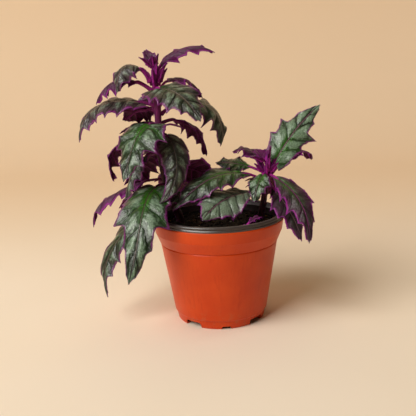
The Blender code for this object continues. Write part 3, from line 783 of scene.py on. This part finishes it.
# Young leaves and bracts stand round each bud. A bract is its heading, height, length and slope.
youngBasics = dict(height=0, teeth=3, cut=0.3, heart=0.35, wave=0.3, hook=0.3, girth=1.3,
                   young=True, fresh=1.0, flush=0.45)
bractBasics = dict(width=4.6, stalk=1.5, teeth=2, cut=0.15, heart=0.8, wave=0.2, hook=0.2, fold=35,
                   girth=1.3, look="violet", young=True, fresh=1.0, flush=1.0)
tallTip = dict(name="tallTip", node="tip_tall", stem=tallStem, seed=11, leaves=dict(
    a1=dict(length=18, width=12, stalk=4, turn=172, rise=(78, 52), roll=-60, fold=12, seed=2,
            look="hazy"),
    a2=dict(length=14, width=7, stalk=4, turn=20, rise=(80, 66), fold=25, seed=51, look="violet"),
    a3=dict(length=13, width=8, stalk=4, turn=-95, rise=(74, 48), fold=15, seed=52, look="violet"),
    a4=dict(length=17, width=8, stalk=4, turn=-158, rise=(58, 26), fold=15, seed=53,
            look="violet")),
    bracts=((-95, 194.5, 14, 76), (150, 195.5, 15, 64), (35, 195, 15, 68), (-35, 198, 12, 74),
            (-150, 199, 13, 62), (95, 199, 12, 72), (10, 201, 12, 70), (-70, 201, 11, 80)))
shortTip = dict(name="shortTip", node="tip_short", stem=shortStem, seed=10, leaves=dict(
    b1=dict(length=18, width=13, stalk=5, turn=128, rise=(48, 24), fold=16, seed=30,
            look="violet"),
    b2=dict(length=16, width=9, stalk=4, turn=-160, rise=(45, 5), fold=16, seed=31, look="green"),
    b3=dict(length=15, width=7, stalk=4, turn=10, rise=(80, 68), fold=25, seed=54,
            look="violet")),
    bracts=((-90, 119.5, 12, 74), (-35, 121, 12, 60), (-150, 121, 12, 58), (40, 122.5, 12, 66),
            (-75, 124, 11, 78), (150, 123, 11, 64)))

leafBuild = dict(
    bulk=1.0, blade=0.5, columns=30, rowsPerTooth=22, spineSteps=96, pointAt=0.7, smallTooth=0.12,
    ragged=0.25, quilt=1.5, quiltWidth=34, groove=0.7, stalk=1.1, stalkSides=8, stalkRows=44,
    stalkEnd=0.97, flare=0.25, flareReach=1.5, solidStalk=(2.2, 2.4), footGap=0.5, footSink=1.4,
    freshest=0.9, freshReach=40, fullLength=70, marginHairs=520, stalkHairs=184, hairScale=1.0)
youngBuild = dict(bulk=0.6, columns=12, rowsPerTooth=10, marginHairs=182, hairScale=0.7)
hairBuild = dict(length=(0.5, 1.1), width=0.06, lean=0.35, stray=0.25, fringeLean=0.5,
                 fringeStray=0.3)
stemBuild = dict(step=1.2, smoothing=4, sides=20, joint=0.28, jointReach=1.6, jointDrop=0.8,
                 thickest=0.45)
budBuild = dict(gap=0.3, sides=24, rings=18, length=9.0, radius=1.9, narrowing=0.35, ridge=0.10,
                ridges=3, twist=5, leavesAt=0.25, bractDroop=22, hairs=320, hairsFrom=0.3,
                hairStray=0.6, hairScale=0.8)


def smoothAlong(values, s):
    # a smooth curve through evenly spaced values, read at s between 0 and 1
    values = np.array(values, float, ndmin=1)
    if len(values) == 1:
        return np.full_like(s, values[0])
    if len(values) == 2:
        return values[0] + (values[1] - values[0]) * s
    values = np.concatenate([[2 * values[0] - values[1]], values, [2 * values[-1] - values[-2]]])
    x = np.clip(s, 0, 1) * (len(values) - 3)
    i = np.minimum(x.astype(int), len(values) - 4)
    f = x - i
    a, b, c, d = values[i], values[i + 1], values[i + 2], values[i + 3]
    return 0.5 * (2 * b + (c - a) * f + (2 * a - 5 * b + 4 * c - d) * f ** 2
                  + (3 * b - a - 3 * c + d) * f ** 3)


def stemPoint(stem, height):
    line = np.array(stem["line"], float)
    return np.array([np.interp(height, line[:, 2], line[:, 0]),
                     np.interp(height, line[:, 2], line[:, 1]), height])


def stemRadius(stem, height):
    ends = [stem["line"][0][2], stem["line"][-1][2]]
    return float(np.interp(height, ends, stem["radius"]))


def leafFoot(stem, shape):
    # the foot stands off the stem's side by the depth of the solid's stalk as it slopes and rolls
    turn, rise, roll = (math.radians(np.ravel(shape[key])[0]) for key in ("turn", "rise", "roll"))
    reach = stemRadius(stem, shape["height"]) + leafBuild["footGap"]
    wide, deep = leafBuild["solidStalk"]
    reach += abs(math.sin(rise)) * (wide * abs(math.cos(roll)) + deep * abs(math.sin(roll))) / 2
    out = np.array([math.cos(turn), math.sin(turn), 0])
    return stemPoint(stem, shape["height"]) + out * reach


def midribLine(shape):
    # points from the foot, with the directions along, across and out of the blade
    steps = leafBuild["spineSteps"]
    s = np.linspace(0, 1, steps + 1)
    rise, turn = (np.radians(smoothAlong(shape[key], s)) for key in ("rise", "turn"))
    roll, swing = (np.radians(smoothAlong(shape[key], s))[:, None] for key in ("roll", "swing"))
    along = np.stack([np.cos(rise) * np.cos(turn), np.cos(rise) * np.sin(turn), np.sin(rise)], 1)
    level = np.stack([-np.sin(turn), np.cos(turn), 0 * turn], 1)
    above = np.cross(along, level)
    across = level * np.cos(roll) + above * np.sin(roll)
    out = above * np.cos(roll) - level * np.sin(roll)
    along, across = (along * np.cos(swing) + across * np.sin(swing),
                     across * np.cos(swing) - along * np.sin(swing))
    legs = (along[1:] + along[:-1]) / 2 * shape["length"] / steps
    points = np.concatenate([np.zeros((1, 3)), np.cumsum(legs, 0)])
    return s, points, along, across, out


def readLine(line, s):
    # centre, along, across and out at any place s of the line
    places, *tracks = line
    s = np.clip(s, 0, 1)
    return [np.stack([np.interp(s, places, track[:, i]) for i in range(3)], -1)
            for track in tracks]


def bodyWidth(shape, t):
    # half width of the smooth outline, as a share of the widest place
    peak, base = shape["peak"], shape["heart"]
    rising = base + (1 - base) * np.sin(np.pi / 2 * ramp(t, peak)) ** 0.8
    falling = np.cos(np.pi / 2 * ramp(t - peak, 1 - peak)) ** shape["taper"]
    waist = 1 - shape["waist"] * ramp(t - peak, 0.14) * ramp(1 - t, 0.25)
    return np.clip(np.where(t < peak, rising, falling * waist), 0.02, 1)


def toothHeight(shape, q, v):
    # smooth arcs between slender claws, each with a small tooth on its back
    sizes = 0.65 + 0.7 * np.random.RandomState(shape["seed"]).rand(2, shape["teeth"] + 2)
    if shape["toothSizes"]:
        sizes = np.array(shape["toothSizes"])
    size = sizes[np.where(v > 0, 1, 0), np.minimum(q.astype(int), sizes.shape[1] - 1)]
    f = q - np.floor(q)
    at = leafBuild["pointAt"]
    main = np.where(f < at, (f / at) ** 3, ((1 - f) / (1 - at)) ** 1.6)
    spot = 0.3 + 0.10 * np.sin(5.0 * np.floor(q) + shape["seed"] + np.where(v > 0, 1.0, 0.0))
    return (main + leafBuild["smallTooth"] * fall(np.abs(f - spot), 0.13)) * size


def bladeShape(shape, line, q, v):
    # points of the blade's middle sheet for tooth count q and side v, and what its finish reads
    t = (q / shape["teeth"]) ** shape["crowd"]
    side = np.abs(v)
    half = shape["width"] / 2
    fade = ramp(t, 0.12) * ramp(1 - t, 0.1)
    edge = ramp(side - 0.45, 0.55)
    tooth = toothHeight(shape, q, v) * fade * edge
    body = bodyWidth(shape, t)
    width = side * half * body + half * shape["cut"] * body ** 0.5 * (tooth - 0.25 * fade * edge)
    width = np.maximum(width, side * ((1.1 - 0.4 * t) * np.sqrt(np.clip(1 - t, 0, 1)) + 0.12))
    jag = (np.abs((q * 4.3 + v * 0.4 + shape["seed"]) % 1 - 0.25) * 0.9
           + np.abs((q * 7.9 + shape["seed"] * 0.7) % 1 - 0.4) * 0.7)
    width = width + leafBuild["ragged"] * shape["bulk"] * jag * fade * edge ** 3
    stalk = shape["stalk"] / shape["length"]
    lean = 0.24 * tooth / shape["teeth"]
    back = min(0.35 * shape["heart"] * (1 - stalk), 0.7 * stalk)
    back = back * fall(t, 0.3) * v * v
    centre, along, across, out = readLine(line, stalk + (1 - stalk) * (t + lean) - back)
    lobe = np.where(v > 0, *shape["lobes"][::-1]) * v * v * fall(t, 0.28)
    lobe = lobe[..., None]
    centre = centre - along * lobe + out * lobe * 0.25
    fold = np.radians(smoothAlong(shape["fold"], t))
    phase = shape["waves"] * t + np.where(v > 0, 0.2, 0.65) + shape["seed"] * 0.37
    calm = ramp(t, 0.2) * ramp(1 - t, 0.15)
    ruffle = (np.sin(2 * np.pi * phase)
              + 0.45 * np.sin(4.3 * np.pi * phase + 1.3 * shape["seed"]) * side)
    lift = shape["wave"] * ruffle * v * v * calm - shape["hook"] * tooth * (0.5 + 0.5 * tooth)
    # side veins run from the midrib to the teeth; the skin swells between them
    uneven = 0.14 * np.sin(3.1 * q + shape["seed"]) * np.where(v > 0, 1, -1)
    vein = q - leafBuild["pointAt"] + 0.75 * (1 - side) ** 1.15 + uneven * (1 - side) * side * 4
    swell = np.abs(np.sin(np.pi * vein)) ** 0.6
    reach = ramp(side - 0.02, 0.28) * (1 - 0.75 * side ** 3)
    small = 0.10 * np.sin(11 * vein + 9 * side + shape["seed"]) * np.sin(17 * side + 5 * t)
    depth = (leafBuild["quilt"] * shape["bulk"]
             * min(1, shape["width"] / leafBuild["quiltWidth"]))
    lift = lift + depth * (swell - 0.35 + small) * reach * ramp(1 - t, 0.2)
    lift = lift - leafBuild["groove"] * shape["bulk"] * np.exp(-(width / 1.5) ** 2) * (1 - t)
    points = (centre + across * (np.sign(v) * width * np.cos(fold))[..., None]
              + out * (width * np.sin(fold) + lift)[..., None])
    return points, dict(sideVein=vein, ribDistance=width, marginShare=side, alongBlade=t,
                        swell=swell * reach, patch=shape["seed"] * 3.1 + np.where(v > 0, 7.3, 0))


# Leaf finishes

# silver is the colour of the painted highlight on the crests, and the darkest green that of the
# painted shade in the hollows
leafColours = {part: rgb(*colour) for part, colour in dict(
    valleyShade=(6, 15, 6), skin=(27, 53, 21), silver=(134, 162, 132), bright=(54, 118, 16),
    haze=(100, 8, 84), rim=(138, 30, 128), rib=(132, 48, 108), paleRib=(176, 150, 124),
    vein=(9, 14, 6), fresh=(140, 20, 120), under=(60, 12, 34), underGlow=(98, 26, 66),
    underShade=(46, 12, 26), underVein=(134, 30, 112), hair=(150, 40, 164)).items()}
velvetFeel = dict(Sheen_Roughness=0.35, Sheen_Tint=rgb(226, 120, 236), Specular_IOR_Level=0.35)


def leafTopFinish(name, shine, paint):
    # side veins and midrib are sunken dark lines; the bubbles between them get a painted silver
    # highlight on their crests and painted shade in their low places
    skin = Finish(name, Sheen_Weight=0.05, Sheen_Roughness=0.4, Sheen_Tint=rgb(206, 160, 226),
                  Specular_IOR_Level=shine)
    vein, rib, side, along, swell, patch = map(skin.number, (
        "sideVein", "ribDistance", "marginShare", "alongBlade", "swell", "patch"))
    silver, green, haze, pink, fresh = map(skin.number, (
        "silver", "green", "haze", "pink", "fresh"))
    where = skin.places()
    flow = skin.node("CombineXYZ", {}, {0: vein * 5.0, 1: rib / 5.5, 2: patch})
    patches = skin.noise(where, 5.5, 3, 0.6)
    puckers = skin.noise(flow, 1, 3, 0.62)
    freckles = skin.noise(where, 0.7, 3, 0.6)
    bubbles = 1 - skin.cells(where, 2.2)
    net = skin.cells(where, 1.8, "DISTANCE_TO_EDGE").between(0.0, 0.14)
    sunk = (vein.fold().between(0.07, 0.025) * side.between(1.0, 0.7)
            + rib.between(0.75, 0.4) * along.between(1.0, 0.8)).capped()
    # silver is painted on the crests of the relief, a painted highlight, as much as each leaf's
    # silver share asks for
    crest = (swell * 0.5 + puckers * 0.72 + bubbles * 0.2 + silver * 0.18).between(0.84, 1.14)
    paintedSilverHighlight = (silver.between(0.0, 0.3) * crest * patches.between(0.1, 0.45)
             * (0.6 + freckles.between(0.35, 0.65) * 0.45)).capped()
    lime = (green * along.between(0.75, 0.0) * (vein.fold().between(0.4, 0.0) * 0.6
                                               + rib.between(5.5, 0.8) * 0.9)).capped()
    veil = (haze * (0.15 + side ** 2 * 0.7 + patches.between(0.35, 0.7) * 0.4
                    + freckles * 0.3)).capped()
    ribLine = (rib.between(0.45, 0.2) * along.between(1.0, 0.7)
               * (0.12 + pink * 0.8).capped())
    frayed = side + (patches - 0.5) * 0.26 + (freckles - 0.5) * 0.2 + haze * 0.09
    # low places of the relief are painted a darker green than the tops: painted shade in the
    # hollows between the puckers
    height = (swell * 0.3 + puckers * 0.8).between(0.2, 0.7)
    colour = skin.layers(
        skin.blend(paint["valleyShade"], paint["skin"], height),
        (paint["silver"], paintedSilverHighlight),
        (paint["bright"], lime),
        (paint["haze"], veil),
        (paint["vein"], (1 - net) * 0.45),
        (paint["vein"], sunk * 0.85),
        (skin.blend(paint["paleRib"], paint["rib"], pink.between(0.3, 0.9)), ribLine),
        (paint["fresh"], fresh * (0.6 + patches * 0.5)),
        (paint["rim"], frayed.between(0.86, 1.0) * (0.62 + pink * 0.4).capped()))
    relief = puckers * 0.6 + bubbles * 0.1 + net * 0.03 + freckles * 0.01 + (1 - sunk) * 0.35
    return skin.wire(Base_Color=colour, Roughness=0.25 + freckles * 0.06 + veil * 0.2,
                     Normal=skin.bump(relief, 1.25))


def leafUnderFinish(name, paint):
    # wine red, with raised purple veins
    skin = Finish(name, Sheen_Weight=0.18, Sheen_Roughness=0.35, Sheen_Tint=rgb(210, 120, 220),
                  Specular_IOR_Level=0.35)
    vein, side, fresh = map(skin.number, ("sideVein", "marginShare", "fresh"))
    where = skin.places()
    patches = skin.noise(where, 4.5, 3, 0.6)
    freckles = skin.noise(where, 0.7, 3, 0.6)
    net = skin.cells(where, 1.7, "DISTANCE_TO_EDGE").between(0.0, 0.10)
    lines = (vein.fold().between(0.13, 0.04) * side.between(0.99, 0.6)).capped()
    colour = skin.layers(
        skin.blend(paint["under"], paint["underGlow"], patches.between(0.35, 0.7)),
        (paint["underShade"], freckles.between(0.5, 0.25) * 0.6),
        (paint["underVein"], lines * 0.8),
        (paint["underVein"], (1 - net) * 0.35),
        (paint["fresh"], fresh * (0.5 + patches * 0.5)),
        (paint["rim"], side.between(0.82, 0.98)))
    relief = lines * 0.6 + (1 - net) * 0.25 + freckles * 0.15
    return skin.wire(Base_Color=colour, Roughness=0.55 + freckles * 0.15,
                     Normal=skin.bump(relief, 0.4))


def velvetFinish(name, pair, freshPair=None, sheen=0.6, streak=(0.4, 0.4, 2.4), dull=0.55):
    # two purples in short streaks, and on a stalk two more vivid ones near the tips
    skin = Finish(name, Sheen_Weight=sheen, **velvetFeel)
    streaks = skin.noise(skin.places(streak), 1, 3, 0.6)
    freckles = skin.noise(skin.places(), 0.5, 3, 0.6)
    mottle = (streaks * 0.6 + freckles * 0.4).between(0.35, 0.65)
    colour = skin.blend(*pair, mottle)
    if freshPair:
        colour = skin.blend(colour, skin.blend(*freshPair, mottle), skin.number("fresh"))
    return skin.wire(Base_Color=colour, Roughness=dull + freckles * 0.2,
                     Normal=skin.bump(freckles * 0.5 + streaks * 0.5, 0.2))


def stemFinish(name):
    # brown and woody low down, vivid purple towards the tip
    skin = Finish(name, Sheen_Weight=0.35, **{**velvetFeel, "Sheen_Tint": rgb(226, 130, 226)})
    ridges = skin.noise(skin.places((0.6, 0.6, 9.0)), 1, 3, 0.6)
    freckles = skin.noise(skin.places(), 0.6, 3, 0.6)
    low = skin.blend(rgb(44, 16, 24), rgb(84, 42, 44), ridges.between(0.4, 0.65))
    high = skin.blend(rgb(92, 12, 70), rgb(150, 24, 118), ridges.between(0.35, 0.7))
    freshness = skin.number("freshness") + (freckles - 0.5) * 0.2
    return skin.wire(Base_Color=skin.blend(low, high, freshness.between(0.35, 0.95)),
                     Roughness=0.5 + freckles * 0.2,
                     Normal=skin.bump(ridges * 0.7 + freckles * 0.3, 0.35))


leafTop = leafTopFinish("leafTopSkin", 0.74, leafColours)
violetTop = leafTopFinish("violetTopSkin", 0.3, leafColours)
dullLooks = ("violet", "plum", "dusky")  # the looks that take the less shiny top
leafUnder = leafUnderFinish("leafUnderSkin", leafColours)
leafRim = velvetFinish("leafRimSkin", (rgb(72, 14, 76), leafColours["rim"]), sheen=0.25,
                       streak=(0.5, 0.5, 3.0))
stalkSkin = velvetFinish("leafStalkSkin", (rgb(74, 14, 52), rgb(128, 34, 100)),
                         (rgb(128, 8, 102), rgb(194, 28, 162)), sheen=0.3,
                         streak=(0.6, 0.6, 3.0), dull=0.5)
hairSkin = velvetFinish("leafHairs", (rgb(118, 34, 136), leafColours["hair"]))
stemSkin = stemFinish("stemSkin")
budSkin = velvetFinish("budSkin", (rgb(116, 8, 92), rgb(192, 32, 170)))
print("finishes mixed")


def gridPiece(name, columns, rows):
    # a flat grid with its UV map; x runs from 1 to -1, so that its face turns out of the blade
    deselectAll()
    bpy.ops.mesh.primitive_grid_add(x_subdivisions=columns, y_subdivisions=rows, size=2)
    piece = newest(name)
    places = pointsOf(piece) * mm
    return piece, -places[:, 0], (places[:, 1] + 1) / 2


def tubePiece(name, centres, sideways, upward, radii, sides):
    # a grid rolled round a line, with both ends drawn to a point
    piece, v, s = gridPiece(name, sides, len(centres) - 1)
    row = np.rint(s * (len(centres) - 1)).astype(int)
    angle = v * np.pi
    ring = sideways[row] * np.cos(angle)[:, None] + upward[row] * np.sin(angle)[:, None]
    movePoints(piece, centres[row] + ring * radii[row][:, None])
    closeSeams(0.002)
    bpy.ops.object.shade_smooth()
    return piece


def hairPiece(name, roots, directions, lengths):
    # one three-sided spike, repeated at every root
    deselectAll()
    bpy.ops.mesh.primitive_cone_add(vertices=3, radius1=1, radius2=0, depth=1,
                                    end_fill_type="NOTHING")
    piece = newest(name)
    spike = np.array([point.co[:] for point in piece.data.vertices])
    spike[:, 2] += 0.5
    corners = np.array([list(face.vertices) for face in piece.data.polygons])
    directions = unit(directions)
    flat = unit(np.cross(directions, [0.31, 0.17, 0.93]))
    other = np.cross(directions, flat)
    points = (roots[:, None] + flat[:, None] * spike[None, :, :1] * hairBuild["width"]
              + other[:, None] * spike[None, :, 1:2] * hairBuild["width"]
              + directions[:, None] * spike[None, :, 2:] * lengths[:, None, None])
    faces = corners[None] + (np.arange(len(roots)) * len(spike))[:, None, None]
    piece.data.clear_geometry()
    piece.data.from_pydata((points * mm).reshape(-1, 3).tolist(), [],
                           faces.reshape(-1, 3).tolist())
    piece.data.update()
    piece.data.materials.clear()
    piece.data.materials.append(hairSkin)
    pick(piece)
    bpy.ops.object.shade_smooth()
    return piece


def hairLengths(draw, count, scale=1.0):
    low, high = hairBuild["length"]
    return (low + (high - low) * draw.rand(count)) * scale


def tubeHairs(name, centres, sideways, upward, radii, count, draw, scale=1.0):
    # hairs all round a tube, leaning a little towards its tip
    place = draw.rand(count) * (len(centres) - 1)
    i = np.minimum(place.astype(int), len(centres) - 2)
    f = (place - i)[:, None]
    angle = draw.rand(count)[:, None] * 2 * np.pi
    out = sideways[i] * np.cos(angle) + upward[i] * np.sin(angle)
    radius = radii[i][:, None] * (1 - f) + radii[i + 1][:, None] * f
    roots = centres[i] * (1 - f) + centres[i + 1] * f + out * radius * 0.95
    lean = unit(centres[i + 1] - centres[i]) * hairBuild["lean"]
    ways = out + lean + draw.normal(0, hairBuild["stray"], (count, 3))
    return hairPiece(name, roots, ways, hairLengths(draw, count, scale))


def growLeaf(name, shape, foot):
    # blade, stalk with its midrib, and hairs, joined into one piece
    build = {**leafBuild, **youngBuild} if shape["young"] else leafBuild
    shape["bulk"] = bulk = build["bulk"]
    line = midribLine(shape)
    draw = np.random.RandomState(shape["seed"] + 100)
    teeth = shape["teeth"]
    blade, v, s = gridPiece(name, build["columns"], teeth * build["rowsPerTooth"])
    points, numbers = bladeShape(shape, line, s * teeth, v)
    movePoints(blade, points + foot)
    numbers.update(leafLooks[shape["look"]], fresh=shape["flush"])
    for key, values in numbers.items():
        writeNumbers(blade, key, values)
    for finish in (violetTop if shape["look"] in dullLooks else leafTop, leafUnder, leafRim):
        blade.data.materials.append(finish)
    applyModifier(blade, "SOLIDIFY", thickness=build["blade"] * bulk * mm, offset=0,
                  material_offset=1, material_offset_rim=2)
    bpy.ops.object.shade_smooth()

    # the stalk starts inside the stem, thicker there, and goes on as the midrib under the blade
    t = np.linspace(0, build["stalkEnd"], build["stalkRows"])
    centres, along, across, out = readLine(line, t)
    share = shape["stalk"] / shape["length"]
    onBlade = ramp(t - share, 1 - share)
    stalkRadii = 1.0 + build["flare"] * np.exp(-t * shape["length"] / build["flareReach"])
    ribRadii = 0.18 + 0.82 * (1 - onBlade) ** 1.1
    radii = build["stalk"] * bulk * shape["girth"] * np.where(t < share, stalkRadii, ribRadii)
    below = radii + 0.1 + build["groove"] * bulk * (1 - onBlade)
    sink = ramp(t - share, 0.08) * below
    centres = centres - out * sink[:, None] + foot
    start = centres[0] - along[0] * build["footSink"]
    centres = np.concatenate([[start, start], centres, [centres[-1]]])
    radii = np.concatenate([[0, radii[0]], radii, [0]])
    across, out = (np.concatenate([track[:1], track[:1], track, track[-1:]])
                   for track in (across, out))
    stalk = tubePiece(name + "Stalk", centres, across, out, radii, build["stalkSides"])
    stalk.data.materials.append(stalkSkin)
    writeNumbers(stalk, "fresh", shape["fresh"])

    # hairs stand along both margins, round the stalk and under the midrib
    scale = build["hairScale"]
    count = int(build["marginHairs"] * shape["length"] / build["fullLength"])
    q = draw.rand(count) * teeth
    side = np.where(draw.rand(count) < 0.5, -1.0, 1.0)
    rim, _ = bladeShape(shape, line, q, side)
    inner, _ = bladeShape(shape, line, q, side * 0.9)
    ahead, _ = bladeShape(shape, line, np.minimum(q + 0.05, teeth), side)
    ways = (unit(rim - inner) + unit(ahead - rim) * hairBuild["fringeLean"]
            + draw.normal(0, hairBuild["fringeStray"], (count, 3)))
    fringe = hairPiece(name + "Fringe", rim + foot, ways, hairLengths(draw, count, scale))
    fluff = tubeHairs(name + "Fluff", centres[1:-1], across[1:-1], out[1:-1], radii[1:-1],
                      int(build["stalkHairs"] * scale), draw, scale)
    return joinPieces(blade, [stalk, fringe, fluff])


def addLeaf(stem, name, choices):
    # the stalk is fresher the nearer it stands to the stem's tip
    shape = {**leafBasics, **choices}
    below = stem["line"][-1][2] - shape["height"]
    shape["fresh"] = fall(below, leafBuild["freshReach"]) * leafBuild["freshest"]
    leaf = growLeaf("leaf" + name, shape, leafFoot(stem, shape))
    return finishPiece(leaf, "leaf_skin", "leaf_" + name.lower())


def addStem(stem, leaves, build):
    # a rod along the stem's line, swollen at each leaf
    level, bottom, top = soilSizes["level"], stem["line"][0][2], stem["line"][-1][2]
    heights = np.append(np.arange(bottom, top + 0.01, build["step"])[:-1], top)
    points = np.array([stemPoint(stem, height) for height in heights])
    for _ in range(build["smoothing"]):
        points[1:-1] = (points[:-2] + 2 * points[1:-1] + points[2:]) / 4
    plain = np.array([stemRadius(stem, height) for height in heights])
    radii = plain.copy()
    for leaf in leaves.values():
        away = heights - leaf["height"] + build["jointDrop"]
        radii += build["joint"] * np.exp(-(away / build["jointReach"]) ** 2)
    radii = np.minimum(radii, plain + build["thickest"])
    along = unit(np.gradient(points, axis=0))
    sideways = unit(np.cross(along, [0, 1, 0]))
    upward = np.cross(along, sideways)
    draw = np.random.RandomState(stem["seed"])
    above = heights > level
    fluff = tubeHairs(stem["name"] + "Fluff", points[above], sideways[above], upward[above],
                      radii[above], stem["hairs"], draw)
    points, sideways, upward = (np.concatenate([track[:1], track, track[-1:]])
                                for track in (points, sideways, upward))
    rod = tubePiece(stem["name"], points, sideways, upward, np.concatenate([[0], radii, [0]]),
                    build["sides"])
    writeNumbers(rod, "freshness", ramp(pointsOf(rod)[:, 2] - level, top - level))
    rod.data.materials.append(stemSkin)
    joinPieces(rod, [fluff])
    return finishPiece(rod, "stem_skin", stem["node"])


def addTip(tip, build):
    # a pointed bud, wrinkled into overlapping scales, with the young leaves round it
    top = np.array(tip["stem"]["line"][-1], float) + (0, 0, build["gap"])
    deselectAll()
    bpy.ops.mesh.primitive_uv_sphere_add(segments=build["sides"], ring_count=build["rings"],
                                         radius=1)
    bud = newest(tip["name"])
    spots = pointsOf(bud) * mm
    rise = (spots[:, 2] + 1) / 2
    turn = np.arctan2(spots[:, 1], spots[:, 0])
    girth = (build["radius"] * (1 - build["narrowing"] * rise)
             * (1 + build["ridge"] * np.cos(build["ridges"] * turn + build["twist"] * rise)))
    spots = np.stack([spots[:, 0] * girth, spots[:, 1] * girth, rise * build["length"]], 1)
    movePoints(bud, spots + top)
    bpy.ops.object.shade_smooth()
    bud.data.materials.append(budSkin)
    leaves = []
    for name, choices in tip["leaves"].items():
        foot = top + (0, 0, build["length"] * build["leavesAt"])
        shape = {**leafBasics, **youngBasics, **choices}
        leaves.append(growLeaf(tip["name"] + name, shape, foot))
    for i, (turn, height, length, slope) in enumerate(tip["bracts"]):
        shape = {**leafBasics, **bractBasics, "height": height, "length": length, "seed": i,
                 "turn": turn, "rise": (slope, slope - build["bractDroop"])}
        leaves.append(growLeaf(tip["name"] + "Bract%d" % i, shape, leafFoot(tip["stem"], shape)))
    draw = np.random.RandomState(tip["seed"])
    roots = spots[draw.randint(0, len(spots), build["hairs"])]
    ways = (roots - (0, 0, build["length"] * build["hairsFrom"])
            + draw.normal(0, build["hairStray"], (build["hairs"], 3)))
    fluff = hairPiece(tip["name"] + "Fluff", roots + top, ways,
                      hairLengths(draw, build["hairs"], build["hairScale"]))
    joinPieces(bud, leaves + [fluff])
    return finishPiece(bud, "young_skin", tip["node"])


addStem(tallStem, tallLeaves, stemBuild)
addStem(shortStem, shortLeaves, stemBuild)
addStem(basalStem, {}, stemBuild)
print("stems grown")
for stem, leaves in ((tallStem, tallLeaves), (shortStem, shortLeaves), (basalStem, basalLeaves)):
    for name, choices in leaves.items():
        addLeaf(stem, name, choices)
    print("leaves grown on", stem["name"] + ":", len(leaves))
addTip(tallTip, budBuild)
addTip(shortTip, budBuild)
print("shoot tips grown")
